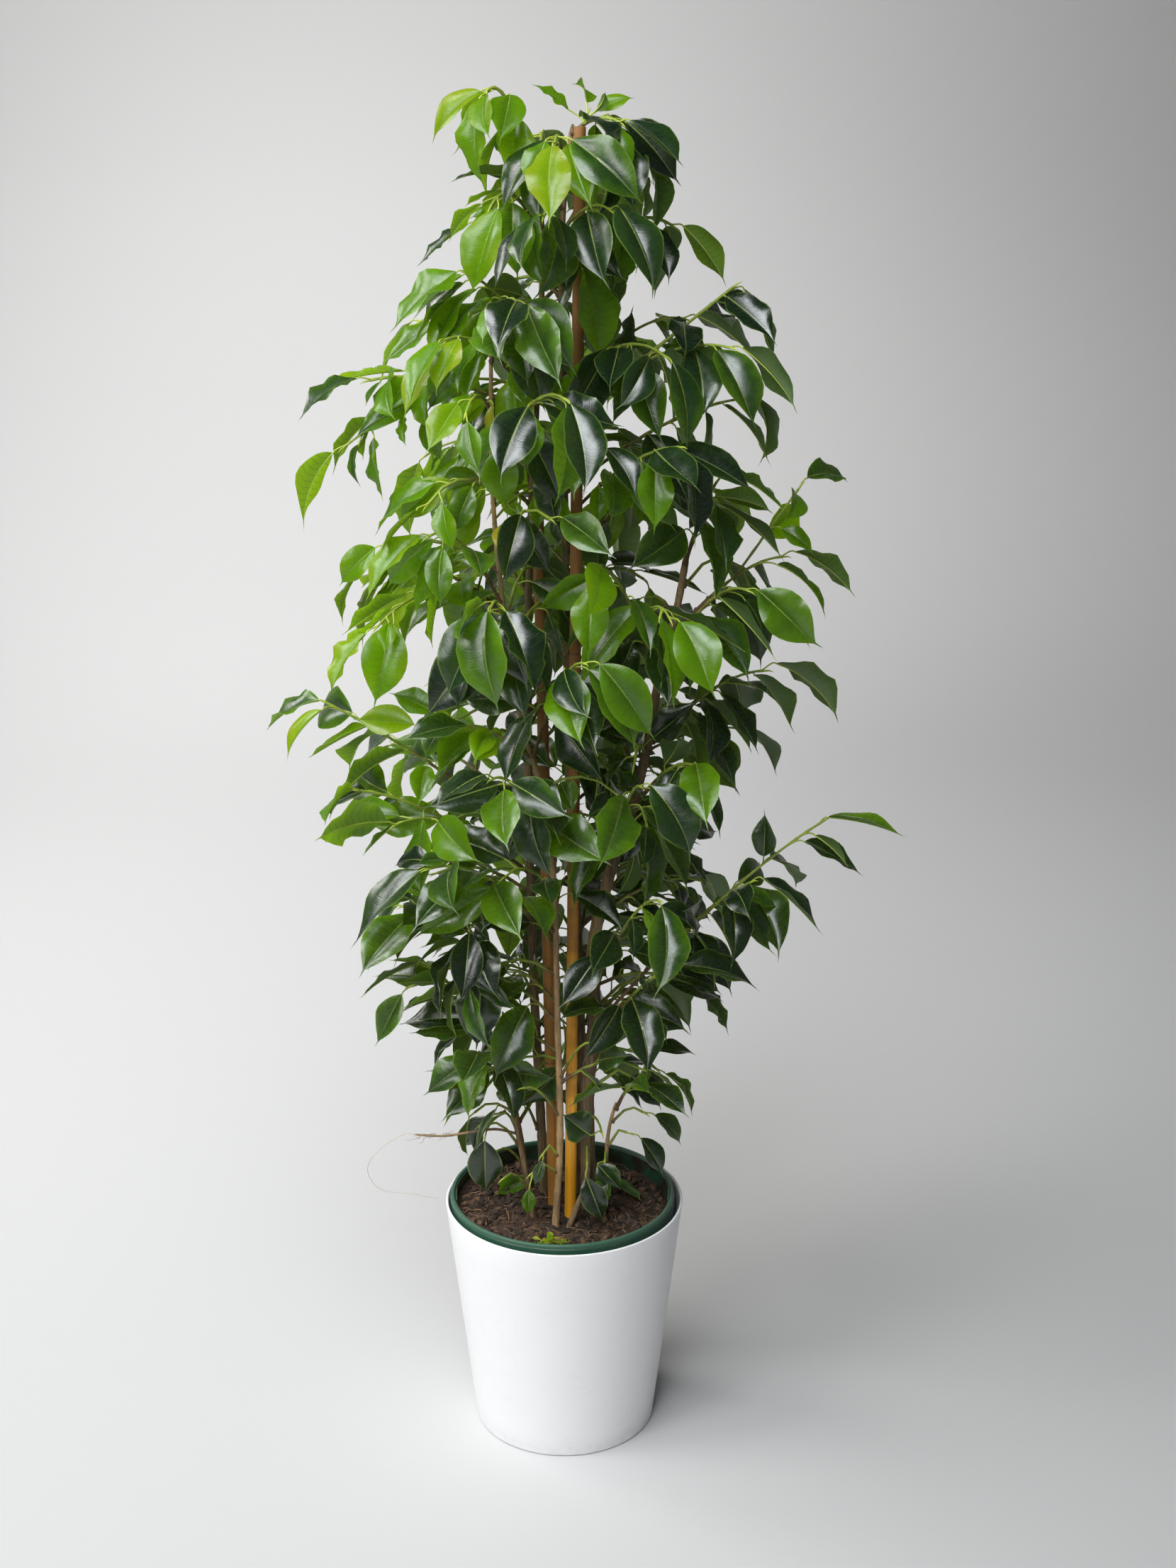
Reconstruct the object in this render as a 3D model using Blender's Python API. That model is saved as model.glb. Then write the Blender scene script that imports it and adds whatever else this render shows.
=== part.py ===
import math
import random

import bpy
import bmesh
from mathutils import Vector
from mathutils.bvhtree import BVHTree

# Driving dimensions, in metres.
touchGap = 0.0003            # clearance between pieces that touch

coverRimRadius = 0.135       # white cover pot
coverBaseRadius = 0.1035
coverHeight = 0.276
coverWall = 0.003
coverFloor = 0.006
coverSegments = 36

growRimRadius = 0.1275       # green nursery pot inside it
growRimAbove = 0.008         # how far its rim stands above the cover pot
growRimDepth = 0.020
growBaseRadius = 0.092
growWall = 0.002
growFloor = 0.0022
growShiftX = -0.002          # it sits a little to the left
growDrainRadius = 0.012
growSegments = 24

rimTop = coverHeight + growRimAbove
soilTop = 0.262
soilRoughness = 0.0025
soilSegments = 24
soilRings = (0.88, 0.65, 0.35)   # rings of its top, as shares of its radius
soilGap = 0.0005             # between the soil and the pot, stems and canes
plantingDepth = 0.062        # how deep stems and canes stand in the soil
straightAbove = 0.010        # stems leave the soil straight for this far

leafWidthShare = 0.52        # blade width as a share of its length
leafThickness = 0.0014       # at the midrib, running out to a thin edge
leafFold = 0.30              # each half rises by this angle, in radians
leafArch = (0.20, 1.05)      # how far a blade bends from base to tip, in radians
tipCurl = 0.07               # how far the drip tip swings aside, as a share of the length
petioleLength = 0.017
petioleRootRadius = 0.0004
petioleRadius = 0.0010
leafClearance = 0.0012       # kept round each leaf
leafLowest = rimTop + 0.004  # no leaf hangs lower
leafTries = 24               # tries for a clear place, each a little smaller than the one before
leafShrink = 0.012
firstLeafShare = 0.30        # where on a shoot the leaves begin, and on a side shoot
firstSideLeafShare = 0.35
lastLeafShare = 0.97

shootRootRadius = 0.0020
shootTipRadius = 0.0014
shootRingSpacing = 0.065
shootSides = 3
shootGap = 0.0005            # between a shoot and its stem
archFirst = 0.33             # where along its span a shoot is steered up, and over
archSecond = 0.72
stemRingSpacing = 0.070
rootRingSpacing = 0.025
rootSides = 5

# How strongly each direction draws a blade, its stalk and its upper side.
runPull = {"along": 0.45, "side": 0.60, "out": 0.30, "chance": 0.60}
stalkPull = {"run": 0.5, "side": 0.6, "along": 0.4, "up": 0.25, "chance": 0.2}
facePull = {"up": 0.65, "out": 0.65, "side": 0.25, "chance": 0.80}
leastRunOn = 0.35             # how nearly a blade goes on as its stalk does, 1 being straight on
endLeafPull = 0.3            # the last leaf of a shoot points along it instead of aside

# Stems and canes: radius in the soil, radius at the top, sides, and the route from the soil up.
stemTable = {
    "cane_front": (0.0065, 0.0060, 8, [(0.007, -0.030, soilTop), (0.019, -0.018, 1.455)]),
    "cane_left": (0.0065, 0.0060, 8, [(-0.012, 0.000, soilTop), (-0.025, 0.000, 1.086)]),
    "stem_right": (0.0090, 0.0035, 8, [
        (0.028, -0.005, soilTop), (0.026, -0.010, 0.406), (0.034, -0.010, 0.500), (0.032, -0.013, 0.582),
        (0.048, -0.018, 0.666), (0.072, -0.020, 0.744), (0.089, -0.028, 0.820), (0.101, -0.028, 0.897),
        (0.119, -0.020, 0.970), (0.130, 0.000, 1.026)]),
    "stem_centre": (0.0060, 0.0025, 8, [
        (0.016, 0.030, soilTop), (0.018, 0.030, 0.516), (0.007, 0.020, 0.770), (0.003, 0.018, 1.082),
        (0.000, 0.004, 1.281), (0.004, 0.002, 1.400), (0.012, 0.005, 1.457)]),
    "stem_left": (0.0055, 0.0025, 8, [
        (-0.023, 0.030, soilTop), (-0.033, 0.030, 0.516), (-0.037, 0.022, 0.730), (-0.035, 0.022, 1.006),
        (-0.020, 0.010, 1.281), (-0.022, 0.000, 1.399), (-0.036, -0.010, 1.431)]),
    "stem_front": (0.0040, 0.0020, 6, [
        (-0.009, -0.050, soilTop), (-0.004, -0.050, 0.375), (-0.006, -0.050, 0.509), (-0.013, -0.055, 0.735),
        (-0.042, -0.065, 0.864), (-0.056, -0.075, 0.958), (-0.068, -0.080, 1.101), (-0.069, -0.060, 1.241)]),
    "stem_low_left": (0.0032, 0.0020, 6, [
        (-0.035, -0.030, soilTop), (-0.047, -0.035, 0.351), (-0.063, -0.040, 0.439), (-0.078, -0.040, 0.546),
        (-0.094, -0.040, 0.605)]),
    "stem_low_back": (0.0030, 0.0020, 6, [
        (-0.040, 0.012, soilTop), (-0.050, 0.000, 0.360), (-0.062, 0.000, 0.430), (-0.068, 0.012, 0.500)]),
    "stem_low_right": (0.0028, 0.0018, 6, [
        (0.045, -0.022, soilTop), (0.049, -0.022, 0.361), (0.058, -0.032, 0.410)]),
}

caneJointSpacing = 0.24      # a cane is slightly thicker at its joints
caneJointBulge = 0.0006

# Roots that are one with a stem: one comes up in front of the cane, and a dry one reaches out to the left.
rootTable = {
    "stem_right": (0.0035, 0.0035, [
        (0.005, -0.048, soilTop), (0.014, -0.045, 0.285), (0.025, -0.034, 0.312), (0.028, -0.010, 0.345)]),
    "stem_low_left": (0.0016, 0.0012, [
        (-0.050, -0.036, 0.373), (-0.074, -0.050, 0.386), (-0.100, -0.056, 0.386), (-0.132, -0.052, 0.379),
        (-0.165, -0.045, 0.377)]),
}

# Leafy shoots: spray, what the shoot grows from, where (a height on a stem, or a share of the spray's first
# shoot), tip, how far it arches up, leaves, leaf length, how much the leaves hang, and leaf colour from
# 0, dark green, to 1, bright yellow-green.
shootTable = (
    ("top_left", "stem_left", 1.420, (-0.072, -0.040, 1.488), 0.030, 5, 0.082, 1.1, 0.8),
    ("top_apex", "stem_centre", 1.447, (0.057, -0.050, 1.462), 0.010, 4, 0.090, 0.8, 0.2),
    ("top_apex", "", 0.20, (0.026, 0.000, 1.466), 0.000, 3, 0.044, -0.5, 0.9),
    ("top_front", "stem_centre", 1.400, (-0.004, -0.120, 1.447), 0.025, 6, 0.092, 1.1, 0.65),
    ("top_right", "stem_centre", 1.385, (0.075, -0.030, 1.437), 0.035, 6, 0.088, 1.0, 0.3),
    ("top_right_low", "stem_centre", 1.310, (0.112, 0.020, 1.357), 0.030, 5, 0.070, 1.0, 0.4),
    ("top_left_low", "stem_left", 1.340, (-0.070, -0.050, 1.378), 0.035, 5, 0.085, 1.1, 0.6),
    ("top_front_low", "stem_centre", 1.300, (-0.015, -0.130, 1.380), 0.030, 5, 0.092, 1.1, 0.3),
    ("top_front_low", "", 0.35, (0.048, -0.110, 1.385), 0.020, 3, 0.098, 1.0, 0.15),
    ("upper_left_arch", "stem_left", 1.240, (-0.090, -0.065, 1.320), 0.010, 6, 0.090, 0.9, 0.55),
    ("upper_left", "stem_left", 1.165, (-0.193, -0.030, 1.210), 0.020, 6, 0.080, 0.6, 0.6),
    ("upper_left", "", 0.40, (-0.217, -0.045, 1.147), 0.010, 4, 0.080, 0.7, 0.7),
    ("upper_left_front", "stem_left", 1.170, (-0.112, -0.110, 1.262), 0.030, 6, 0.090, 1.0, 0.7),
    ("crown_front", "stem_front", 1.232, (-0.040, -0.140, 1.300), 0.030, 6, 0.095, 0.9, 0.25),
    ("upper_front_right", "stem_centre", 1.190, (0.100, -0.090, 1.245), 0.030, 6, 0.092, 1.0, 0.35),
    ("upper_right", "stem_centre", 1.160, (0.172, -0.020, 1.302), 0.000, 6, 0.085, 0.9, 0.35),
    ("upper_right", "", 0.35, (0.167, -0.065, 1.248), 0.015, 5, 0.098, 1.0, 0.3),
    ("right_edge", "stem_centre", 1.085, (0.183, -0.020, 1.190), 0.020, 5, 0.095, 1.0, 0.3),
    ("front_upper", "stem_front", 1.130, (0.004, -0.180, 1.218), 0.030, 6, 0.095, 1.1, 0.35),
    ("front_right", "stem_centre", 1.055, (0.117, -0.120, 1.160), 0.020, 6, 0.095, 1.1, 0.3),
    ("mid_left", "stem_left", 0.930, (-0.190, -0.030, 1.022), 0.030, 5, 0.090, 0.8, 0.5),
    ("mid_left", "", 0.40, (-0.186, -0.095, 0.972), 0.020, 5, 0.090, 0.7, 0.5),
    ("mid_left_front", "stem_front", 0.985, (-0.130, -0.130, 1.073), 0.030, 5, 0.088, 0.9, 0.85),
    ("front_left_dark", "stem_front", 0.910, (-0.067, -0.160, 1.012), 0.030, 6, 0.100, 1.1, 0.15),
    ("front_mid", "stem_right", 0.890, (0.040, -0.140, 1.043), 0.030, 5, 0.090, 1.0, 0.4),
    ("front_mid", "", 0.40, (0.108, -0.130, 0.990), 0.020, 5, 0.100, 1.1, 0.3),
    ("far_right", "stem_right", 0.935, (0.231, 0.020, 1.017), 0.020, 5, 0.092, 0.9, 0.15),
    ("far_right", "", 0.60, (0.244, -0.005, 1.095), 0.000, 2, 0.075, 0.3, 0.5),
    ("mid_right", "stem_right", 0.905, (0.188, -0.080, 1.006), 0.030, 6, 0.095, 1.1, 0.35),
    ("right_crown", "stem_right", 1.010, (0.158, -0.040, 1.110), 0.010, 5, 0.092, 1.1, 0.3),
    ("far_right_low", "stem_right", 0.820, (0.210, -0.040, 0.910), 0.020, 6, 0.095, 0.9, 0.2),
    ("front_low_mid", "stem_front", 0.820, (0.023, -0.170, 0.955), 0.030, 6, 0.105, 1.1, 0.25),
    ("left_tip", "stem_left", 0.705, (-0.250, -0.020, 0.870), 0.010, 6, 0.092, 0.7, 0.6),
    ("left_wide", "stem_left", 0.660, (-0.216, -0.050, 0.782), 0.020, 5, 0.095, 0.35, 0.4),
    ("left_wide", "", 0.35, (-0.174, -0.090, 0.757), 0.015, 4, 0.098, 0.3, 0.35),
    ("left_front_low", "stem_front", 0.710, (-0.070, -0.150, 0.828), 0.030, 6, 0.100, 0.7, 0.12),
    ("left_glossy", "stem_front", 0.620, (-0.138, -0.120, 0.720), 0.030, 6, 0.105, 0.5, 0.25),
    ("right_long", "stem_right", 0.490, (0.280, -0.030, 0.742), 0.020, 7, 0.090, 0.8, 0.2),
    ("right_long", "", 0.35, (0.198, -0.090, 0.694), 0.010, 4, 0.100, 0.9, 0.1),
    ("right_low", "stem_right", 0.530, (0.100, -0.130, 0.689), 0.030, 5, 0.092, 0.65, 0.3),
    ("centre_low", "stem_right", 0.665, (0.080, -0.140, 0.817), 0.030, 5, 0.100, 1.1, 0.25),
    ("centre_right", "stem_right", 0.740, (0.136, -0.090, 0.823), 0.020, 4, 0.085, 1.0, 0.3),
    ("right_low_inner", "stem_right", 0.460, (0.117, -0.080, 0.590), 0.020, 4, 0.088, 0.45, 0.15),
    ("low_left", "stem_low_left", 0.555, (-0.112, -0.080, 0.650), 0.020, 5, 0.095, 0.4, 0.2),
    ("low_left", "", 0.30, (-0.100, -0.095, 0.585), 0.010, 3, 0.090, 0.4, 0.2),
    ("low_left", "", 0.55, (-0.168, -0.060, 0.655), 0.015, 4, 0.095, 0.5, 0.25),
    ("low_right", "stem_low_right", 0.385, (0.080, -0.060, 0.445), 0.010, 3, 0.078, 0.0, 0.5),
    ("low_back_left", "stem_low_back", 0.390, (-0.090, -0.060, 0.482), 0.020, 4, 0.085, 0.45, 0.25),
    ("low_back_left", "", 0.50, (-0.145, -0.035, 0.575), 0.020, 4, 0.092, 0.5, 0.2),
    ("back_top", "stem_left", 1.380, (-0.020, 0.100, 1.440), 0.025, 4, 0.085, 1.1, 0.4),
    ("back_top_low", "stem_centre", 1.290, (0.050, 0.130, 1.350), 0.030, 5, 0.090, 1.1, 0.4),
    ("back_upper_left", "stem_left", 1.200, (-0.150, 0.100, 1.250), 0.030, 4, 0.088, 0.9, 0.5),
    ("back_upper_left", "", 0.35, (-0.070, 0.170, 1.240), 0.020, 3, 0.090, 1.0, 0.4),
    ("back_upper_right", "stem_centre", 1.180, (0.130, 0.120, 1.250), 0.030, 4, 0.090, 0.9, 0.3),
    ("back_upper_right", "", 0.35, (0.040, 0.180, 1.210), 0.020, 3, 0.090, 1.0, 0.35),
    ("back_upper", "stem_left", 1.070, (-0.050, 0.200, 1.130), 0.030, 4, 0.090, 1.0, 0.35),
    ("back_upper", "", 0.40, (-0.150, 0.140, 1.100), 0.020, 3, 0.090, 0.9, 0.45),
    ("back_mid_right", "stem_centre", 1.020, (0.170, 0.150, 1.060), 0.030, 4, 0.092, 0.9, 0.25),
    ("back_mid_right", "", 0.40, (0.060, 0.220, 1.030), 0.020, 3, 0.095, 1.0, 0.3),
    ("back_mid_left", "stem_left", 0.920, (-0.180, 0.140, 0.980), 0.030, 4, 0.092, 0.9, 0.4),
    ("back_mid_left", "", 0.40, (-0.080, 0.220, 0.960), 0.020, 3, 0.095, 1.0, 0.3),
    ("back_mid", "stem_centre", 0.870, (0.030, 0.240, 0.920), 0.030, 4, 0.095, 1.0, 0.25),
    ("back_mid", "", 0.40, (0.160, 0.170, 0.910), 0.020, 3, 0.095, 0.9, 0.25),
    ("back_low_right", "stem_centre", 0.740, (0.200, 0.140, 0.790), 0.030, 4, 0.095, 0.9, 0.2),
    ("back_low_right", "", 0.40, (0.080, 0.220, 0.790), 0.020, 2, 0.100, 1.0, 0.2),
    ("back_low_left", "stem_left", 0.720, (-0.190, 0.130, 0.780), 0.030, 4, 0.095, 0.8, 0.3),
    ("back_low_left", "", 0.40, (-0.090, 0.210, 0.770), 0.020, 2, 0.100, 0.9, 0.25),
    ("back_low", "stem_centre", 0.570, (0.050, 0.170, 0.660), 0.030, 4, 0.098, 0.9, 0.2),
    ("back_low", "", 0.40, (0.150, 0.120, 0.630), 0.020, 3, 0.095, 0.8, 0.2),
    ("back_low", "", 0.30, (-0.100, 0.130, 0.620), 0.020, 2, 0.095, 0.8, 0.25),
)

up = Vector((0, 0, 1))
sideways = Vector((1, 0, 0))


# Routes and tubes

def smoothRoute(points, spacing):
    # A smooth curve through the points, read at about the given spacing.
    points = [Vector(p) for p in points]
    if len(points) == 2:
        count = max(1, round((points[1] - points[0]).length / spacing))
        return [points[0].lerp(points[1], i / count) for i in range(count + 1)]
    ends = [2 * points[0] - points[1]] + points + [2 * points[-1] - points[-2]]
    route = [points[0]]
    for a, b, c, d in zip(ends, ends[1:], ends[2:], ends[3:]):
        steps = max(1, round((c - b).length / spacing))
        for i in range(1, steps + 1):
            t = i / steps
            route.append(0.5 * (2 * b + (c - a) * t + (2 * a - 5 * b + 4 * c - d) * t * t
                                + (3 * b - a - 3 * c + d) * t ** 3))
    return route


def archRoute(root, tip, lift, spacing):
    # A shoot that leaves upwards and arches over towards its tip.
    span = tip - root
    first = root + archFirst * span + lift * up
    second = root + archSecond * span + 1.1 * lift * up
    count = max(2, round(span.length / spacing))
    route = []
    for i in range(count + 1):
        t = i / count
        s = 1 - t
        route.append(s ** 3 * root + 3 * s * s * t * first + 3 * s * t * t * second + t ** 3 * tip)
    return route


def tubeMesh(route, radii, sides, reference=None):
    # Points and faces of a closed tube; rings keep the reference direction, or turn as little as they can.
    verts = []
    faces = []
    across = None
    for i, centre in enumerate(route):
        along = (route[min(i + 1, len(route) - 1)] - route[max(i - 1, 0)]).normalized()
        if reference is not None:
            across = reference
        elif across is None:
            across = up if abs(along.z) < 0.9 else sideways
        across = (across - across.dot(along) * along).normalized()
        other = along.cross(across)
        for k in range(sides):
            angle = 2 * math.pi * k / sides
            verts.append(centre + radii[i] * (math.cos(angle) * across + math.sin(angle) * other))
        if i:
            for k in range(sides):
                a = (i - 1) * sides + k
                b = (i - 1) * sides + (k + 1) % sides
                faces.append((a, b, b + sides, a + sides))
    faces.append(tuple(reversed(range(sides))))
    faces.append(tuple(range(len(verts) - sides, len(verts))))
    return verts, faces


def taper(route, start, end):
    return [start + (end - start) * i / (len(route) - 1) for i in range(len(route))]


# Stems

def stemRoute(name, spacing):
    # The buried part is straight, so that the stem stands in a plain hole.
    points = [Vector(p) for p in stemTable[name][3]]
    if len(points) == 2:
        slope = (points[1] - points[0]) / (points[1].z - points[0].z)
        return [points[0] - plantingDepth * slope] + smoothRoute(points, spacing)[1:]
    lower = points[0] - plantingDepth * up
    return [lower] + smoothRoute([points[0] + straightAbove * up] + points[1:], spacing)


def stemMesh(name, extra=0.0):
    startRadius, endRadius, sides, points = stemTable[name]
    if len(points) == 2:
        return caneMesh(name, extra)
    route = stemRoute(name, stemRingSpacing)
    radii = [r + extra for r in taper(route, startRadius, endRadius)]
    return tubeMesh(route, radii, sides, sideways)


def caneMesh(name, extra=0.0):
    # A straight cane, slightly thicker at each of its joints.
    startRadius, endRadius, sides, (_, top) = stemTable[name]
    low, high = stemRoute(name, stemRingSpacing)[0], Vector(top)
    length = (high - low).length
    shares = [k * caneJointSpacing / length for k in range(math.ceil(length / caneJointSpacing))] + [1.0]
    route = [low.lerp(high, share) for share in shares]
    radii = [startRadius + (endRadius - startRadius) * share + extra for share in shares]
    radii[1:-1] = [radius + caneJointBulge for radius in radii[1:-1]]
    return tubeMesh(route, radii, sides, sideways)


def rootMesh(name, extra=0.0):
    startRadius, endRadius, points = rootTable[name]
    route = smoothRoute(points, rootRingSpacing)
    planted = points[0][2] == soilTop
    if planted:
        route.insert(0, route[0] - plantingDepth * up)
    radii = [r + extra for r in taper(route, startRadius, endRadius)]
    return tubeMesh(route, radii, rootSides, sideways if planted else up)


def stemPoint(name, height):
    route = stemRoute(name, stemRingSpacing)
    for low, high in zip(route, route[1:]):
        if low.z <= height <= high.z:
            return low.lerp(high, (height - low.z) / (high.z - low.z))
    return route[-1]


def treeOf(mesh):
    verts, faces = mesh
    return BVHTree.FromPolygons([tuple(v) for v in verts], faces)


# Leaves

def chance(draw, height=1):
    # A direction drawn by chance; its height can be left at 0.
    return Vector((draw.uniform(-1, 1), draw.uniform(-1, 1), height and draw.uniform(-1, 1)))


def makeLeaf(root, side, along, hang, length, tone, draw):
    # One leaf: its stalk's root on the shoot, the base, run and upper side of its blade, and its own shape.
    out = Vector((root.x, root.y, 0))
    out = out.normalized() if out.length > 0.01 else Vector((0, -1, 0))
    scatter = chance(draw)
    run = (runPull["along"] * along + runPull["side"] * side + runPull["out"] * out - hang * up
           + runPull["chance"] * scatter).normalized()
    stalk = (stalkPull["run"] * run + stalkPull["side"] * side + stalkPull["along"] * along
             + stalkPull["up"] * up + stalkPull["chance"] * scatter).normalized()
    face = (facePull["up"] * up + facePull["out"] * out + facePull["side"] * side
            + facePull["chance"] * chance(draw, 0))
    face = (face - face.dot(run) * run).normalized()
    size = length * draw.uniform(0.82, 1.10)
    return {
        "root": root,
        "base": root + petioleLength * draw.uniform(0.8, 1.25) * stalk,
        "run": run,
        "face": face,
        "across": run.cross(face),
        "length": size,
        "width": size * leafWidthShare * draw.uniform(0.88, 1.12),
        "arch": draw.uniform(*leafArch),
        "fold": leafFold * draw.uniform(0.5, 1.3),
        "curl": draw.uniform(-1, 1),
        "tone": tone + draw.uniform(-0.18, 0.18),
    }


def midrib(leaf, share):
    # Place and upper direction of the midrib at a share of the blade's length: an arc, with a curled tip.
    turn = leaf["arch"] * share
    place = leaf["base"] + leaf["length"] / leaf["arch"] * (
        math.sin(turn) * leaf["run"] - (1 - math.cos(turn)) * leaf["face"])
    tip = max(0.0, share - 0.7) / 0.3
    place = place + tipCurl * leaf["length"] * leaf["curl"] * tip * tip * leaf["across"]
    return place, math.cos(turn) * leaf["face"] + math.sin(turn) * leaf["run"]


# Share of the length, and share of the half width there, from the base to the drip tip.
leafStations = ((0.00, 0.00), (0.27, 1.00), (0.58, 0.86), (0.84, 0.17))
stalkFaces = 7               # the first faces of a leaf are its stalk's


def leafMesh(leaf, grow=0.0):
    # A stalk of three sides that runs into a thin folded blade, thickest at its midrib.
    # Grow makes all of it fatter.
    half = leafThickness / 2 + grow
    stalkReach = petioleRadius + grow
    across = leaf["across"]
    stalk = (leaf["base"] - leaf["root"]).normalized()
    first = (across - across.dot(stalk) * stalk).normalized()
    second = stalk.cross(first)
    verts = [leaf["root"] + (petioleRootRadius + grow) * offset for offset in (-first, first, second)]
    for index, (share, widthShare) in enumerate(leafStations):
        place, face = midrib(leaf, share)
        reach = leaf["width"] / 2 * widthShare + grow
        rise = reach * math.sin(leaf["fold"])
        wide = reach * math.cos(leaf["fold"])
        left = place - wide * across + rise * face
        right = place + wide * across + rise * face
        below = place - half * face
        if index == 0:
            stalkSide = stalkReach * across
            verts += [place - stalkSide, place + stalkSide, place - 1.7 * stalkReach * face]
        elif index == len(leafStations) - 1:
            verts += [left, right, below - half * face]
        else:
            verts += [left, place + half * face, right, below]
    tipPlace, _ = midrib(leaf, 1.0)
    verts.append(tipPlace + grow * leaf["run"])
    faces = [(0, 2, 1)]
    for a, b in ((0, 1), (1, 2), (2, 0)):
        faces += [(a, b, b + 3), (a, b + 3, a + 3)]
    # Left, top, right and bottom points of the blade's stations, from its base to its tip.
    l0, r0, b0, l1, t1, r1, b1, l2, t2, r2, b2, l3, r3, b3, tip = range(3, 18)
    faces += [(l0, t1, l1), (l0, r0, t1), (r0, r1, t1), (l0, l1, b1)]
    faces += [(l0, b1, b0), (r0, b1, r1), (r0, b0, b1)]
    faces += [(l1, t1, l2), (t1, t2, l2), (t1, r1, r2), (t1, r2, t2)]
    faces += [(l1, l2, b1), (b1, l2, b2), (b1, r2, r1), (b1, b2, r2)]
    faces += [(l2, t2, l3), (t2, r3, l3), (t2, r2, r3), (l2, l3, b2)]
    faces += [(l3, b3, b2), (r2, b2, r3), (b2, b3, r3)]
    faces += [(l3, r3, tip), (l3, tip, b3), (r3, b3, tip)]
    return verts, faces


# Layout: every shoot and leaf of the plant, each leaf clear of all that stands before it.

def boxOf(mesh):
    columns = list(zip(*mesh[0]))
    return [min(column) for column in columns], [max(column) for column in columns]


class Obstacles:
    # What stands already, and whether a new mesh would touch any of it.
    def __init__(self):
        self.items = []

    def add(self, mesh, owner):
        low, high = boxOf(mesh)
        self.items.append((low, high, treeOf(mesh), owner))

    def hit(self, mesh, own=None):
        low, high = boxOf(mesh)
        tree = treeOf(mesh)
        for itemLow, itemHigh, itemTree, owner in self.items:
            apart = any(low[i] > itemHigh[i] or high[i] < itemLow[i] for i in range(3))
            if owner != own and not apart and tree.overlap(itemTree):
                return True
        return False


def shootRoot(stem, height, tip, lift, radius):
    # The shoot's root: just clear of the stem's side, on the line from the stem's axis towards the shoot.
    outside = 0.03
    axis = stemPoint(stem, height)
    toward = (archFirst * (tip - axis) + lift * up).normalized()
    tree = treeOf(stemMesh(stem))
    ring, _ = tubeMesh([axis, axis + toward], [radius, radius], shootSides)
    reach = 0.0
    for start in ring[:shootSides] + [axis]:
        hit = tree.ray_cast(start + outside * toward, -toward)
        if hit[0] is not None:
            reach = max(reach, outside - hit[3])
    return axis + (reach + shootGap) * toward


def makeShoots():
    shoots = []
    for name, source, at, tip, lift, leaves, length, hang, tone in shootTable:
        tip = Vector(tip)
        if source:
            root = shootRoot(source, at, tip, lift, shootRootRadius)
            route = archRoute(root, tip, lift, shootRingSpacing)
            radii = taper(route, shootRootRadius, shootTipRadius)
        else:
            parent = next(s for s in shoots if s["spray"] == name)["route"]
            root = pointAlong(parent, at)[0]
            route = archRoute(root, tip, lift, shootRingSpacing)
            radii = taper(route, shootTipRadius, 0.9 * shootTipRadius)
        shoots.append({
            "spray": name, "stem": source, "route": route, "radii": radii, "leaves": leaves,
            "length": length, "hang": hang, "tone": tone, "mesh": tubeMesh(route, radii, shootSides)})
    return shoots


def pointAlong(route, share):
    # The point and direction at a share of a route's length.
    lengths = [(b - a).length for a, b in zip(route, route[1:])]
    rest = share * sum(lengths)
    for a, b, length in zip(route, route[1:], lengths):
        if rest <= length + 1e-9:
            return a.lerp(b, rest / length), (b - a).normalized()
        rest -= length
    return route[-1], (route[-1] - route[-2]).normalized()


def standingSolids(shoots):
    # What every leaf has to stay clear of before the first one is placed.
    solids = Obstacles()
    for name in stemTable:
        solids.add(stemMesh(name, leafClearance), name)
    for name in rootTable:
        solids.add(rootMesh(name, leafClearance), "root_" + name)
    for index, shoot in enumerate(shoots):
        radii = [r + leafClearance for r in shoot["radii"]]
        solids.add(tubeMesh(shoot["route"], radii, shootSides), index)
    return solids


def turnsBack(leaf):
    # Whether the stalk doubles back under its own blade.
    return (leaf["base"] - leaf["root"]).normalized().dot(leaf["run"]) < leastRunOn


def placeLeaf(solids, shoot, index, share, turn, last, draw):
    # The first leaf of a few tries that stands clear of all before it; its stalk may touch its own shoot.
    root, along = pointAlong(shoot["route"], share)
    level = along.cross(up)
    level = level.normalized() if level.length > 0.2 else sideways
    for attempt in range(leafTries):
        side = endLeafPull * along if last else turn * level * (-1 if attempt % 2 else 1)
        leaf = makeLeaf(root, side, along, shoot["hang"], shoot["length"] * (1 - leafShrink * attempt),
                        shoot["tone"], draw)
        solid = leafMesh(leaf, leafClearance)
        if min(v.z for v in solid[0]) < leafLowest or turnsBack(leaf):
            continue
        blade = (solid[0], solid[1][stalkFaces:])
        if solids.hit(solid, index) or solids.hit(blade):
            continue
        solids.add(solid, "leaf")
        return leaf
    return None


def placeLeaves(shoots):
    # Each shoot has its own seed, so that a change to one leaves the others' draws alone.
    solids = standingSolids(shoots)
    leaves = []
    for index, shoot in enumerate(shoots):
        draw = random.Random("%s %d" % (shoot["spray"], index))
        first = firstLeafShare if shoot["stem"] else firstSideLeafShare
        count = shoot["leaves"]
        for i in range(count):
            share = first + (lastLeafShare - first) * i / max(1, count - 1)
            leaf = placeLeaf(solids, shoot, index, share, 1 if i % 2 else -1, i == count - 1, draw)
            if leaf:
                leaves.append((shoot["spray"], leaf))
    print("leaves:", len(leaves))
    return leaves


# Objects

def clearScene():
    for item in list(bpy.data.objects):
        bpy.data.objects.remove(item, do_unlink=True)


def material(name, colour, roughness, metallic=0.0):
    made = bpy.data.materials.new(name)
    made.use_nodes = True
    shader = made.node_tree.nodes["Principled BSDF"]
    shader.inputs["Base Color"].default_value = (*colour, 1)
    shader.inputs["Roughness"].default_value = roughness
    shader.inputs["Metallic"].default_value = metallic
    return made


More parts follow.
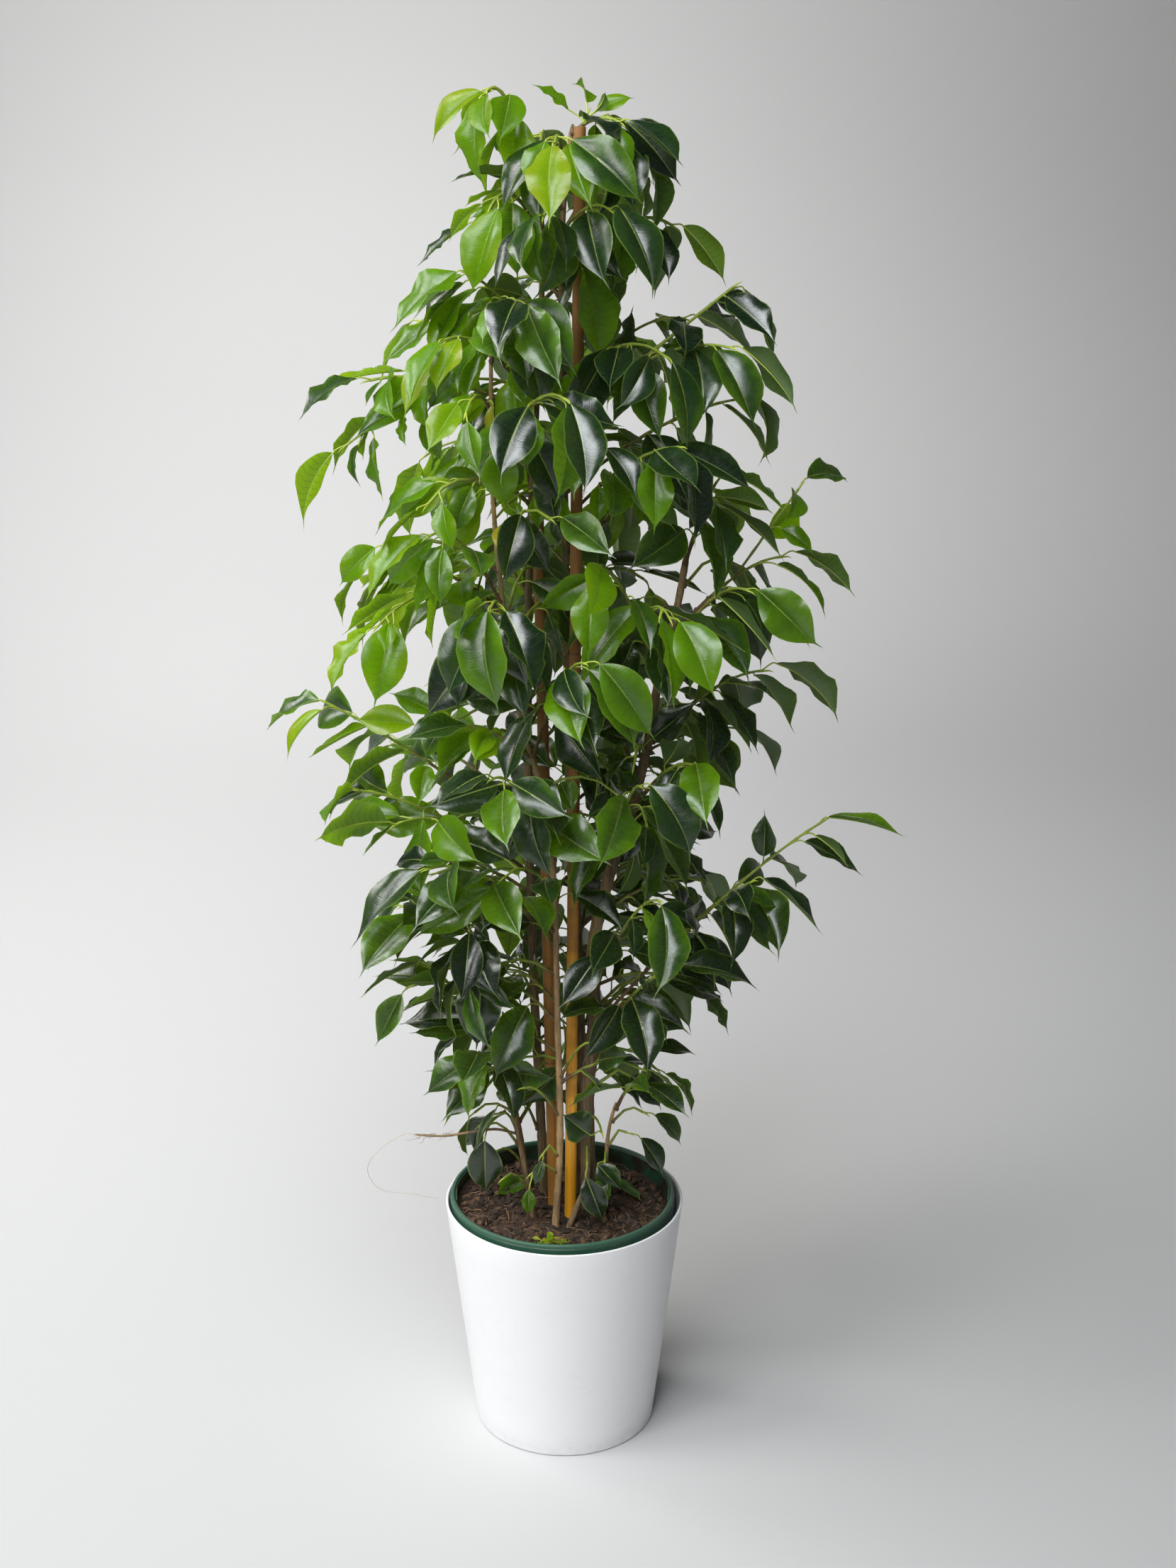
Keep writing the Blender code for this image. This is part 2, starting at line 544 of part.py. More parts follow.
def meshObject(name, mesh, finish, smooth=False):
    verts, faces = mesh
    data = bpy.data.meshes.new(name)
    data.from_pydata([tuple(v) for v in verts], [], faces)
    shape = bmesh.new()
    shape.from_mesh(data)
    bmesh.ops.recalc_face_normals(shape, faces=shape.faces)
    shape.to_mesh(data)
    shape.free()
    data.materials.append(finish)
    if smooth:
        data.shade_smooth()
        data.set_sharp_from_angle(angle=math.radians(35))
    item = bpy.data.objects.new(name, data)
    bpy.context.scene.collection.objects.link(item)
    return item


def turned(profile, segments, centreX=0.0):
    # A profile of (radius, height) turned about the pot's axis; a radius of 0 is a pole.
    verts = []
    rings = []
    for radius, height in profile:
        if radius == 0:
            rings.append([len(verts)] * segments)
            verts.append(Vector((centreX, 0, height)))
            continue
        rings.append(list(range(len(verts), len(verts) + segments)))
        for k in range(segments):
            angle = 2 * math.pi * k / segments
            verts.append(Vector((centreX + radius * math.cos(angle), radius * math.sin(angle), height)))
    closed = profile[0][0] > 0
    faces = []
    pairs = list(zip(rings, rings[1:])) + ([(rings[-1], rings[0])] if closed else [])
    for a, b in pairs:
        for k in range(segments):
            n = (k + 1) % segments
            corners = [a[k], a[n], b[n], b[k]]
            faces.append(tuple(dict.fromkeys(corners)))
    return verts, faces


def joinAll(target, parts):
    # One Boolean union of the target with a collection of parts, applied; the parts are then removed.
    group = bpy.data.collections.new(target.name + "_parts")
    bpy.context.scene.collection.children.link(group)
    for part in parts:
        bpy.context.scene.collection.objects.unlink(part)
        group.objects.link(part)
    joining = target.modifiers.new("join", "BOOLEAN")
    joining.operation = "UNION"
    joining.operand_type = "COLLECTION"
    joining.collection = group
    joining.solver = "EXACT"
    applyModifiers(target)
    for part in parts:
        bpy.data.objects.remove(part, do_unlink=True)
    bpy.data.collections.remove(group)


def applyModifiers(item):
    graph = bpy.context.evaluated_depsgraph_get()
    evaluated = item.evaluated_get(graph)
    result = bpy.data.meshes.new_from_object(evaluated, depsgraph=graph)
    item.modifiers.clear()
    old = item.data
    item.data = result
    bpy.data.meshes.remove(old)


def coverPot():
    slope = (coverRimRadius - coverBaseRadius) / (coverHeight - coverFloor)
    inside = coverWall * math.sqrt(1 + slope * slope)
    lip = coverWall / 2
    profile = [
        (0, 0), (coverBaseRadius - 0.006, 0), (coverBaseRadius - 0.002, 0.0015), (coverBaseRadius, 0.006),
        (coverRimRadius - 0.0002, coverHeight - 0.003), (coverRimRadius - 0.2 * lip, coverHeight - 0.4 * lip),
        (coverRimRadius - lip, coverHeight), (coverRimRadius - 1.8 * lip, coverHeight - 0.4 * lip),
        (coverRimRadius - inside, coverHeight - 0.003),
        (coverBaseRadius - inside + slope * 0.006, coverFloor + 0.006),
        (coverBaseRadius - inside - 0.005, coverFloor), (0, coverFloor)]
    finish = material("white_plastic", (0.85, 0.85, 0.84), 0.35)
    return meshObject("cover_pot", turned(profile, coverSegments), finish, smooth=True)


def growInnerRadius(height):
    # Inner radius of the nursery pot's wall at a height.
    bottom = coverFloor + touchGap
    low, high = bottom + 0.004, rimTop - growRimDepth
    top = growRimRadius - 0.006
    base = growBaseRadius - growWall
    return base + (top - base) * (height - low) / (high - low)


def growPot():
    bottom = coverFloor + touchGap
    rimLow = rimTop - growRimDepth
    wallTop = growInnerRadius(rimLow)
    profile = [
        (growDrainRadius, bottom), (growBaseRadius - 0.002, bottom), (growBaseRadius, bottom + 0.003),
        (wallTop + growWall, rimLow - 0.004), (growRimRadius - 0.001, rimLow),
        (growRimRadius, rimLow + 0.001),
        (growRimRadius, rimTop - 0.0015), (growRimRadius - 0.0015, rimTop), (growRimRadius - 0.0040, rimTop),
        (growRimRadius - 0.0052, rimTop - 0.0015), (wallTop, rimLow),
        (growBaseRadius - growWall, bottom + 0.004), (growDrainRadius, bottom + growFloor)]
    finish = material("green_plastic", (0.012, 0.085, 0.045), 0.4)
    return meshObject("grow_pot", turned(profile, growSegments, growShiftX), finish, smooth=True)


def soilBody():
    # Potting soil with an uneven top, and a plain hole for each stem and cane.
    bottom = coverFloor + touchGap + growFloor + touchGap
    topRadius = growInnerRadius(soilTop) - soilGap
    lowRadius = growInnerRadius(bottom + 0.003) - soilGap
    profile = [(0, bottom), (lowRadius, bottom + 0.0018), (topRadius, soilTop)]
    profile += [(topRadius * share, soilTop) for share in soilRings] + [(0, soilTop)]
    verts, faces = turned(profile, soilSegments, growShiftX)
    draw = random.Random("soil")
    for vert in verts:
        if vert.z >= soilTop - 1e-6:
            vert.z += draw.uniform(-soilRoughness, soilRoughness)
    finish = material("potting_soil", (0.035, 0.020, 0.013), 0.95)
    soil = meshObject("soil", (verts, faces), finish)
    cutters = [meshObject("cut_" + name, stemMesh(name, soilGap), finish) for name in stemTable]
    cutters += [meshObject("cut_root_" + name, rootMesh(name, soilGap), finish) for name in rootTable]
    for cutter in cutters:
        cutting = soil.modifiers.new("hole", "BOOLEAN")
        cutting.operation = "DIFFERENCE"
        cutting.solver = "EXACT"
        cutting.object = cutter
    applyModifiers(soil)
    for cutter in cutters:
        bpy.data.objects.remove(cutter, do_unlink=True)
    return soil


def build():
    clearScene()
    coverPot()
    growPot()
    soilBody()
    cane = material("bamboo_cane", (0.62, 0.30, 0.06), 0.5)
    bark = material("fig_bark", (0.16, 0.09, 0.05), 0.8)
    for name in stemTable:
        item = meshObject(name, stemMesh(name), cane if name.startswith("cane") else bark, smooth=True)
        if name in rootTable:
            joinAll(item, [meshObject("root", rootMesh(name), bark)])
    shoots = makeShoots()
    leaves = placeLeaves(shoots)
    for name in dict.fromkeys(shoot["spray"] for shoot in shoots):
        own = [shoot for shoot in shoots if shoot["spray"] == name]
        tone = own[0]["tone"]
        green = material("leaf_" + name, (0.02 + 0.12 * tone, 0.10 + 0.22 * tone, 0.02), 0.4)
        body = meshObject("spray_" + name, own[0]["mesh"], green)
        parts = [meshObject("twig", shoot["mesh"], green) for shoot in own[1:]]
        parts += [meshObject("leaf", leafMesh(leaf), green) for spray, leaf in leaves if spray == name]
        joinAll(body, parts)


build()
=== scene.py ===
import math
import random

import bpy
import bmesh
from mathutils import Matrix, Vector, noise
from mathutils.bvhtree import BVHTree


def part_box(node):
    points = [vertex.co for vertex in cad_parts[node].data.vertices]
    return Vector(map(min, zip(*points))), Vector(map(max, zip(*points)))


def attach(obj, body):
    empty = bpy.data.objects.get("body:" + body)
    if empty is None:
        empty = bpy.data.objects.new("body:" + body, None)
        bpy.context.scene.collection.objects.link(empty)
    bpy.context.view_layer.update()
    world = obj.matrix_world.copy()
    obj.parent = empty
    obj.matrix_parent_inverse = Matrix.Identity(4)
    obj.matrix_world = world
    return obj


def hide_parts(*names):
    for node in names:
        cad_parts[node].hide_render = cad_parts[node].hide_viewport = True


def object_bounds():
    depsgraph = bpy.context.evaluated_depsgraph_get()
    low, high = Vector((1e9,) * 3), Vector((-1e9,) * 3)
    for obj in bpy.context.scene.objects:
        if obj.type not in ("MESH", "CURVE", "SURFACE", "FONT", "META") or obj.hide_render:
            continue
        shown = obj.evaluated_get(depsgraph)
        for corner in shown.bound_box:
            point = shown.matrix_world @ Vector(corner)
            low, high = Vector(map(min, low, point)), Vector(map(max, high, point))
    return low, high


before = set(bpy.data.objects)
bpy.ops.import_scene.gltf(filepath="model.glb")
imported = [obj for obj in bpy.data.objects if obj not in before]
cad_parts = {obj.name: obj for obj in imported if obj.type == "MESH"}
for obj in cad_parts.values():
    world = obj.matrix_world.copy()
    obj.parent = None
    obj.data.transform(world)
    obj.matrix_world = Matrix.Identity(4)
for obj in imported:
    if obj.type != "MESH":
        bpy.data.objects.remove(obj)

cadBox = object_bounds()
up = Vector((0, 0, 1))
sideways = Vector((1, 0, 0))
print("frame: %d solids" % len(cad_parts))


# Camera and studio

cameraSetup = {
    "place": (0.027, -2.47, 1.613),
    "tiltDown": 18.8,             # degrees
    "lens": 55.8,                 # mm
    "sensor": 36.0,               # mm, along the photo's long side
    "clipEnd": 200.0,
}

studio = {
    "floorRadius": 2.6,          # a round cove: flat floor, then a long curve up to a wall all round
    "bendRadius": 3.6,
    "bendSteps": 12,
    "wallHeight": 5.0,
    "sides": 128,
    "floorColour": (0.557, 0.558, 0.560),
    "floorRoughness": 0.7,
    "floorShine": 0.2,
    "skyColour": (0.90, 0.95, 1.0),      # a cool fill from all round
    "skyStrength": 0.024,
    "panels": (
        # Name, place, aim, size, watts, spread in degrees and colour: two windows at the left, soft lights
        # from above and in front, and four that wash the wall and the floor behind the plant.
        ("windowFront", (-3.0, -2.4, 2.6), (0.0, 0.0, 0.80), (1.3, 1.5), 35.5, 150, (1.0, 0.99, 0.965)),
        ("windowBack", (-2.4, 1.1, 2.4), (0.0, 0.0, 0.95), (0.9, 1.1), 13.5, 130, (1.0, 0.99, 0.96)),
        ("top", (-0.5, -1.5, 3.1), (0.0, 0.0, 0.6), (1.5, 1.5), 26.0, 110, (0.93, 0.97, 1.0)),
        ("front", (-0.8, -3.6, 2.6), (0.0, 0.0, 0.7), (1.4, 1.4), 11.0, 90, (1.0, 1.0, 1.0)),
        ("wallMiddle", (-1.0, 2.0, 3.6), (-0.7, 5.2, 0.9), (1.2, 1.0), 30.5, 90, (1.0, 0.99, 0.98)),
        ("wallTop", (-0.8, 2.6, 4.6), (-0.4, 5.4, 2.0), (1.6, 1.2), 20.0, 110, (1.0, 0.99, 0.98)),
        ("floorLeft", (-2.4, -0.6, 3.6), (-1.0, 0.2, 0.0), (1.4, 1.4), 24.0, 90, (1.0, 0.99, 0.98)),
        ("floorBack", (-1.4, 1.4, 3.6), (-0.8, 2.6, 0.0), (1.2, 1.0), 24.0, 80, (1.0, 0.99, 0.98)),
    ),
}


def newObject(name, data, place=(0, 0, 0), turn=(0, 0, 0)):
    item = bpy.data.objects.new(name, data)
    item.location = place
    item.rotation_euler = turn
    bpy.context.scene.collection.objects.link(item)
    return item


def makeCamera():
    data = bpy.data.cameras.new("camera")
    data.lens = cameraSetup["lens"]
    data.sensor_width = cameraSetup["sensor"]
    data.clip_end = cameraSetup["clipEnd"]
    turn = (math.radians(90 - cameraSetup["tiltDown"]), 0, 0)
    bpy.context.scene.camera = newObject("camera", data, cameraSetup["place"], turn)


def makePanel(name, place, aim, size, power, spread, colour):
    # A soft rectangular light that faces a point.
    data = bpy.data.lights.new(name, "AREA")
    data.shape = "RECTANGLE"
    data.size, data.size_y = size
    data.energy = power
    data.spread = math.radians(spread)
    data.color = colour
    turn = (Vector(aim) - Vector(place)).to_track_quat("-Z", "Y").to_euler()
    newObject(name, data, place, turn).visible_camera = False


def makeSky():
    world = bpy.data.worlds.new("studio")
    world.use_nodes = True
    sky = world.node_tree.nodes["Background"]
    sky.inputs["Color"].default_value = (*studio["skyColour"], 1)
    sky.inputs["Strength"].default_value = studio["skyStrength"]
    bpy.context.scene.world = world


def makeCove():
    # The floor, swept up into a wall on every side, so that no view meets an edge.
    radius, bend, sides = studio["floorRadius"], studio["bendRadius"], studio["sides"]
    profile = [(0.001, 0.0), (0.5 * radius, 0.0)]
    for i in range(studio["bendSteps"] + 1):
        angle = math.pi / 2 * i / studio["bendSteps"]
        profile.append((radius + bend * math.sin(angle), bend * (1 - math.cos(angle))))
    profile.append((radius + bend, studio["wallHeight"]))
    form = bmesh.new()
    last = None
    for radius, height in profile:
        ring = bmesh.ops.create_circle(form, segments=sides, radius=radius)["verts"]
        bmesh.ops.translate(form, verts=ring, vec=(0, 0, height))
        if last:
            for k in range(sides):
                form.faces.new((last[k], last[(k + 1) % sides], ring[(k + 1) % sides], ring[k]))
        last = ring
    data = bpy.data.meshes.new("cove")
    form.to_mesh(data)
    form.free()
    data.shade_smooth()
    finish = bpy.data.materials.new("cove")
    finish.use_nodes = True
    shader = finish.node_tree.nodes["Principled BSDF"]
    shader.inputs["Base Color"].default_value = (*studio["floorColour"], 1)
    shader.inputs["Roughness"].default_value = studio["floorRoughness"]
    shader.inputs["Specular IOR Level"].default_value = studio["floorShine"]
    data.materials.append(finish)
    cove = newObject("cove", data)


makeCamera()
makeSky()
makeCove()
for panel in studio["panels"]:
    makePanel(*panel)
bpy.context.scene.view_settings.view_transform = "Standard"
print("camera and studio")


# Node helpers

def feed(tree, socket, value):
    # A value for a socket: another socket that feeds it, a colour, or a number.
    if isinstance(value, bpy.types.NodeSocket):
        tree.links.new(value, socket)
    elif isinstance(value, tuple) and len(value) == 3 and socket.type == "RGBA":
        socket.default_value = (*value, 1)
    else:
        socket.default_value = value


def addNode(tree, kind, inputs, **settings):
    made = tree.nodes.new(kind)
    for name, value in settings.items():
        setattr(made, name, value)
    for name, value in inputs.items():
        feed(tree, made.inputs[name], value)
    return made


def maths(tree, operation, first, second=0.0, clamp=False):
    made = addNode(tree, "ShaderNodeMath", {0: first, 1: second}, operation=operation, use_clamp=clamp)
    return made.outputs[0]


def times(tree, first, second):
    return maths(tree, "MULTIPLY", first, second)


def plus(tree, first, second, clamp=False):
    return maths(tree, "ADD", first, second, clamp)


def blend(tree, share, first, second):
    # Two colours mixed by a share from 0 to 1.
    made = addNode(tree, "ShaderNodeMix", {0: share, 6: first, 7: second}, data_type="RGBA")
    return made.outputs[2]


def tint(tree, colour, mask, amount, other):
    # A colour with another laid over it where the mask is, as far as the amount says.
    return blend(tree, times(tree, mask, amount), colour, other)


def spread(tree, value, low, high, toLow=0.0, toHigh=1.0, smooth=False):
    # A value's range from low to high, stretched to another range and held there.
    made = addNode(tree, "ShaderNodeMapRange", {
        "Value": value, "From Min": low, "From Max": high, "To Min": toLow, "To Max": toHigh},
        interpolation_type="SMOOTHSTEP" if smooth else "LINEAR")
    return made.outputs["Result"]


def ramp(tree, value, stops):
    # Colours along a value, given as (value, colour).
    made = addNode(tree, "ShaderNodeValToRGB", {"Fac": value})
    marks = made.color_ramp.elements
    while len(marks) < len(stops):
        marks.new(1.0)
    for mark, (place, colour) in zip(marks, stops):
        mark.position = place
        mark.color = (*colour, 1)
    return made.outputs["Color"]


def grainNoise(tree, coordinates, scale, detail=3.0, roughness=0.55):
    made = addNode(tree, "ShaderNodeTexNoise", {
        "Vector": coordinates, "Scale": scale, "Detail": detail, "Roughness": roughness})
    return made.outputs["Fac"]


def stretched(tree, coordinates, scale):
    # Coordinates scaled by a vector.
    made = addNode(tree, "ShaderNodeVectorMath", {0: coordinates, 1: scale}, operation="MULTIPLY")
    return made.outputs[0]


def axisOf(tree, coordinates, axis):
    return addNode(tree, "ShaderNodeSeparateXYZ", {0: coordinates}).outputs[axis]


def openGroup(name, inputs):
    # A new shader group with named inputs: numbers, or vectors where the value is one.
    tree = bpy.data.node_groups.new(name, "ShaderNodeTree")
    for label, value in inputs.items():
        kind = "NodeSocketVector" if isinstance(value, tuple) else "NodeSocketFloat"
        tree.interface.new_socket(label, in_out="INPUT", socket_type=kind).default_value = value
    return tree, tree.nodes.new("NodeGroupInput").outputs


def closeGroup(tree, outputs):
    # The group's named outputs, each fed by its value.
    for label in outputs:
        tree.interface.new_socket(label, in_out="OUTPUT", socket_type="NodeSocketFloat")
    result = tree.nodes.new("NodeGroupOutput").inputs
    for label, value in outputs.items():
        feed(tree, result[label], value)
    return tree


def useGroup(tree, group, inputs):
    return addNode(tree, "ShaderNodeGroup", inputs, node_tree=group).outputs


def newMaterial(name):
    # A material with its tree, its shader's sockets and the place on the object.
    made = bpy.data.materials.new(name)
    made.use_nodes = True
    tree = made.node_tree
    place = tree.nodes.new("ShaderNodeTexCoord").outputs["Object"]
    return made, tree, tree.nodes["Principled BSDF"].inputs, place


def pointMarks(tree):
    # The values kept at each point of a piece.
    mark = addNode(tree, "ShaderNodeAttribute", {}, attribute_name="marks")
    parts = addNode(tree, "ShaderNodeSeparateColor", {"Color": mark.outputs["Color"]})
    return dict(zip(("edge", "tone", "age"), parts.outputs))


def finishSkin(tree, skin, colour, roughness, height, strength, distance):
    # A shader's colour, roughness and relief, the last in metres.
    feed(tree, skin["Base Color"], colour)
    feed(tree, skin["Roughness"], roughness)
    relief = addNode(tree, "ShaderNodeBump", {"Height": height, "Strength": strength, "Distance": distance})
    feed(tree, skin["Normal"], relief.outputs["Normal"])
    return relief.outputs["Normal"]


# Shader groups

def leafVeinsGroup():
    # Midrib, side veins and margin of a blade, from its flat map and its distance to the edge.
    tree, inside = openGroup("leafVeins", {
        "Blade": (0, 0, 0), "Edge": 0.0, "Pairs": 13.0, "Slant": 0.42, "Rib Width": 0.035,
        "Vein Width": 0.22})
    flat = addNode(tree, "ShaderNodeSeparateXYZ", {0: inside["Blade"]}).outputs
    across = maths(tree, "ABSOLUTE", maths(tree, "SUBTRACT", flat["X"], 0.5))
    ribEdge = times(tree, inside["Rib Width"], spread(tree, flat["Y"], 0.0, 1.0, 1.0, 0.25))
    midrib = maths(tree, "SUBTRACT", 1.0, maths(tree, "DIVIDE", across, ribEdge), clamp=True)
    wander = times(tree, grainNoise(tree, inside["Blade"], 7.0, 2.0), 0.05)
    swept = maths(tree, "SUBTRACT", flat["Y"], times(tree, across, inside["Slant"]))
    swept = plus(tree, plus(tree, swept, times(tree, across, across)), wander)
    masks = []
    for share, weight in ((1.0, 1.0), (3.0, 0.45)):
        turn = maths(tree, "FRACT", times(tree, swept, times(tree, inside["Pairs"], share)))
        peak = maths(tree, "ABSOLUTE", maths(tree, "SUBTRACT", turn, 0.5))
        line = spread(tree, peak, 0.0, times(tree, inside["Vein Width"], 0.5), 1.0, 0.0, smooth=True)
        masks.append(times(tree, line, weight))
    veins = times(tree, maths(tree, "MAXIMUM", *masks), spread(tree, inside["Edge"], 0.80, 0.97, 1.0, 0.15))
    return closeGroup(tree, {
        "Midrib": midrib, "Veins": veins, "Margin": spread(tree, inside["Edge"], 0.90, 0.99, smooth=True),
        "Relief": plus(tree, times(tree, veins, -0.45), midrib)})


def barkGrainGroup():
    # Long fibres, cork specks and their relief, on anything woody. Stretch draws the grain out along Z.
    tree, inside = openGroup("barkGrain", {
        "Place": (0, 0, 0), "Scale": 60.0, "Stretch": (1, 1, 0.12), "Speck Scale": 260.0, "Speck Size": 0.30})
    along = stretched(tree, inside["Place"], inside["Stretch"])
    fibre = grainNoise(tree, along, times(tree, inside["Scale"], 6.0), 4.0, 0.65)
    patch = grainNoise(tree, inside["Place"], inside["Scale"], 3.0, 0.6)
    cells = addNode(tree, "ShaderNodeTexVoronoi", {
        "Vector": stretched(tree, inside["Place"], (1, 1, 1.8)), "Scale": inside["Speck Scale"]})
    speck = spread(tree, cells.outputs["Distance"], 0.0, inside["Speck Size"], 1.0, 0.0, smooth=True)
    chosen = addNode(tree, "ShaderNodeSeparateColor", {"Color": cells.outputs["Color"]}).outputs["Red"]
    speck = times(tree, speck, maths(tree, "GREATER_THAN", chosen, 0.62))
    return closeGroup(tree, {
        "Fibre": spread(tree, fibre, 0.32, 0.68), "Patch": spread(tree, patch, 0.35, 0.65, smooth=True),
        "Speck": speck, "Relief": plus(tree, times(tree, fibre, 0.7), times(tree, speck, 0.35))})


def dustAndScuffsGroup():
    # Settled dust, fine scuffs and an uneven moulded skin, for the plastic pots and the canes.
    tree, inside = openGroup("dustAndScuffs", {
        "Place": (0, 0, 0), "Dust Scale": 40.0, "Dust Amount": 0.4, "Scuff Scale": 90.0, "Scuff Amount": 0.3,
        "Skin Scale": 700.0})
    cloud = grainNoise(tree, inside["Place"], inside["Dust Scale"], 5.0, 0.7)
    speckle = grainNoise(tree, inside["Place"], times(tree, inside["Dust Scale"], 14.0), 2.0)
    dust = times(tree, spread(tree, cloud, 0.45, 0.75), spread(tree, speckle, 0.45, 0.70))
    lines = grainNoise(tree, stretched(tree, inside["Place"], (1, 1, 7)), inside["Scuff Scale"], 3.0, 0.6)
    return closeGroup(tree, {
        "Dust": times(tree, dust, inside["Dust Amount"]),
        "Scuff": times(tree, spread(tree, lines, 0.62, 0.70), inside["Scuff Amount"]),
        "Skin": grainNoise(tree, inside["Place"], inside["Skin Scale"], 2.0)})


leafVeins = leafVeinsGroup()
barkGrain = barkGrainGroup()
dustAndScuffs = dustAndScuffsGroup()
print("shader groups")


# Materials

leafLook = {
    "greens": (                              # from the darkest leaves to the old yellow ones
        (0.0, (0.003, 0.011, 0.006)), (0.25, (0.011, 0.038, 0.009)), (0.55, (0.145, 0.335, 0.002)),
        (0.75, (0.330, 0.500, 0.010)), (1.0, (0.560, 0.430, 0.040))),
    "lines": (                               # how far each mark colours the blade, and its colour
        ("Veins", 0.10, (0.160, 0.260, 0.070)), ("Margin", 0.42, (0.260, 0.370, 0.070)),
        ("Midrib", 0.50, (0.300, 0.400, 0.120))),
    "backColour": (0.095, 0.165, 0.045),
    "backShare": 0.60,
    "backRoughness": 0.25,                   # added at the back
    "throughColour": (0.38, 0.68, 0.00),     # daylight through a blade
    "throughShares": (0.08, 0.62),           # in a dark blade and in a bright one
    "variety": (-0.36, 0.34),                # of tone, from leaf to leaf
    "blotchScale": 30.0,
    "blotches": (-0.09, 0.09),               # of tone, within a leaf
    "edges": (-0.07, 0.09),                  # painted light: tone, from the midrib to the brighter margin
    "roughness": (0.19, 0.34),
    "shine": 0.95,
}


def leafMaterial():
    made, tree, skin, place = newMaterial("leafBlade")
    blade = addNode(tree, "ShaderNodeUVMap", {}, uv_map="blade").outputs[0]
    marks = pointMarks(tree)
    veins = useGroup(tree, leafVeins, {"Blade": blade, "Edge": marks["edge"]})
    blotch = grainNoise(tree, place, leafLook["blotchScale"], 3.0, 0.5)
    shade = plus(tree, marks["tone"], spread(tree, blotch, 0.3, 0.7, *leafLook["blotches"]))
    # Painted light: the blade gets brighter from its midrib towards its margin
    shade = plus(tree, shade, spread(tree, marks["edge"], 0.0, 1.0, *leafLook["edges"], smooth=True))
    shade = plus(tree, shade, spread(tree, marks["age"], 0.0, 1.0, *leafLook["variety"]))
    green = ramp(tree, times(tree, shade, 0.7), leafLook["greens"])
    for line, amount, lineColour in leafLook["lines"]:
        green = tint(tree, green, veins[line], amount, lineColour)
    behind = tree.nodes.new("ShaderNodeNewGeometry").outputs["Backfacing"]
    colour = tint(tree, green, behind, leafLook["backShare"], leafLook["backColour"])
    sheen = spread(tree, grainNoise(tree, place, 120.0), 0.3, 0.7, *leafLook["roughness"])
    roughness = plus(tree, sheen, times(tree, behind, leafLook["backRoughness"]))
    pebble = grainNoise(tree, place, 900.0, 2.0)
    height = plus(tree, times(tree, veins["Relief"], 0.8), times(tree, pebble, 0.25))
    normal = finishSkin(tree, skin, colour, roughness, height, 0.22, 0.0006)
    skin["Specular IOR Level"].default_value = leafLook["shine"]
    lit = blend(tree, veins["Veins"], leafLook["throughColour"], colour)
    through = addNode(tree, "ShaderNodeBsdfTranslucent", {
        "Color": blend(tree, 0.65, colour, lit), "Normal": normal})
    both = addNode(tree, "ShaderNodeMixShader", {
        0: spread(tree, shade, 0.0, 0.9, *leafLook["throughShares"]),
        1: tree.nodes["Principled BSDF"].outputs[0], 2: through.outputs[0]})
    feed(tree, tree.nodes["Material Output"].inputs["Surface"], both.outputs[0])
    return made


twigLook = {
    "green": (0.190, 0.270, 0.030),
    "stalk": (0.400, 0.480, 0.060),
    "brown": (0.150, 0.082, 0.032),
    "furrow": (0.075, 0.041, 0.016),
    "speck": (0.30, 0.22, 0.13),
}


def twigMaterial():
    # Leaf stalks and young twigs, green at their tips and brown where they grow old.
    made, tree, skin, place = newMaterial("twig")
    marks = pointMarks(tree)
    grain = useGroup(tree, barkGrain, {
        "Place": place, "Scale": 90.0, "Stretch": (1, 1, 0.5), "Speck Scale": 420.0})
    green = blend(tree, marks["tone"], twigLook["green"], twigLook["stalk"])
    brown = blend(tree, grain["Fibre"], twigLook["brown"], twigLook["furrow"])
    woody = spread(tree, plus(tree, marks["age"], times(tree, grain["Patch"], 0.25)), 0.25, 0.75)
    colour = blend(tree, woody, green, brown)
    colour = tint(tree, colour, grain["Speck"], times(tree, marks["age"], 0.6), twigLook["speck"])
    roughness = spread(tree, marks["age"], 0.0, 1.0, 0.42, 0.72)
    finishSkin(tree, skin, colour, roughness, grain["Relief"], 0.5, 0.0006)
    return made


barkLook = {
    "ridge": (0.235, 0.155, 0.090),
    "furrow": (0.060, 0.034, 0.018),
    "warm": (0.600, 0.370, 0.175),
    "warmFurrow": (0.300, 0.185, 0.0875),
    "speck": (0.400, 0.320, 0.220),
    "moss": (0.090, 0.100, 0.035),
    "pale": (0.540, 0.440, 0.340),           # the dry root's thread
}


def barkMaterial(name, warmth):
    # Fig bark; warmth from 0, grey-brown, to 1, light reddish brown.
    made, tree, skin, place = newMaterial(name)
    grain = useGroup(tree, barkGrain, {"Place": place})
    cool = blend(tree, grain["Fibre"], barkLook["furrow"], barkLook["ridge"])
    warm = blend(tree, grain["Fibre"], barkLook["warmFurrow"], barkLook["warm"])
    wide = spread(tree, grainNoise(tree, place, 14.0, 3.0), 0.35, 0.65, -0.25, 0.25)
    colour = blend(tree, plus(tree, warmth, wide, clamp=True), cool, warm)
    colour = tint(tree, colour, grain["Patch"], 0.35, barkLook["moss"])
    colour = tint(tree, colour, grain["Speck"], 0.55, barkLook["speck"])
    colour = blend(tree, pointMarks(tree)["tone"], colour, barkLook["pale"])
    roughness = spread(tree, grain["Patch"], 0.0, 1.0, 0.88, 0.66)
    finishSkin(tree, skin, colour, roughness, grain["Relief"], 0.9, 0.0016)
    return made


caneLook = {
    "fresh": (0.900, 0.400, 0.014),
    "aged": (0.280, 0.120, 0.032),
    "fibre": (0.126, 0.054, 0.0144),
    "stain": (0.060, 0.034, 0.014),
    "dust": (0.30, 0.26, 0.20),
    "agedHeights": (0.42, 0.80),             # where the cane turns from yellow to brown
}


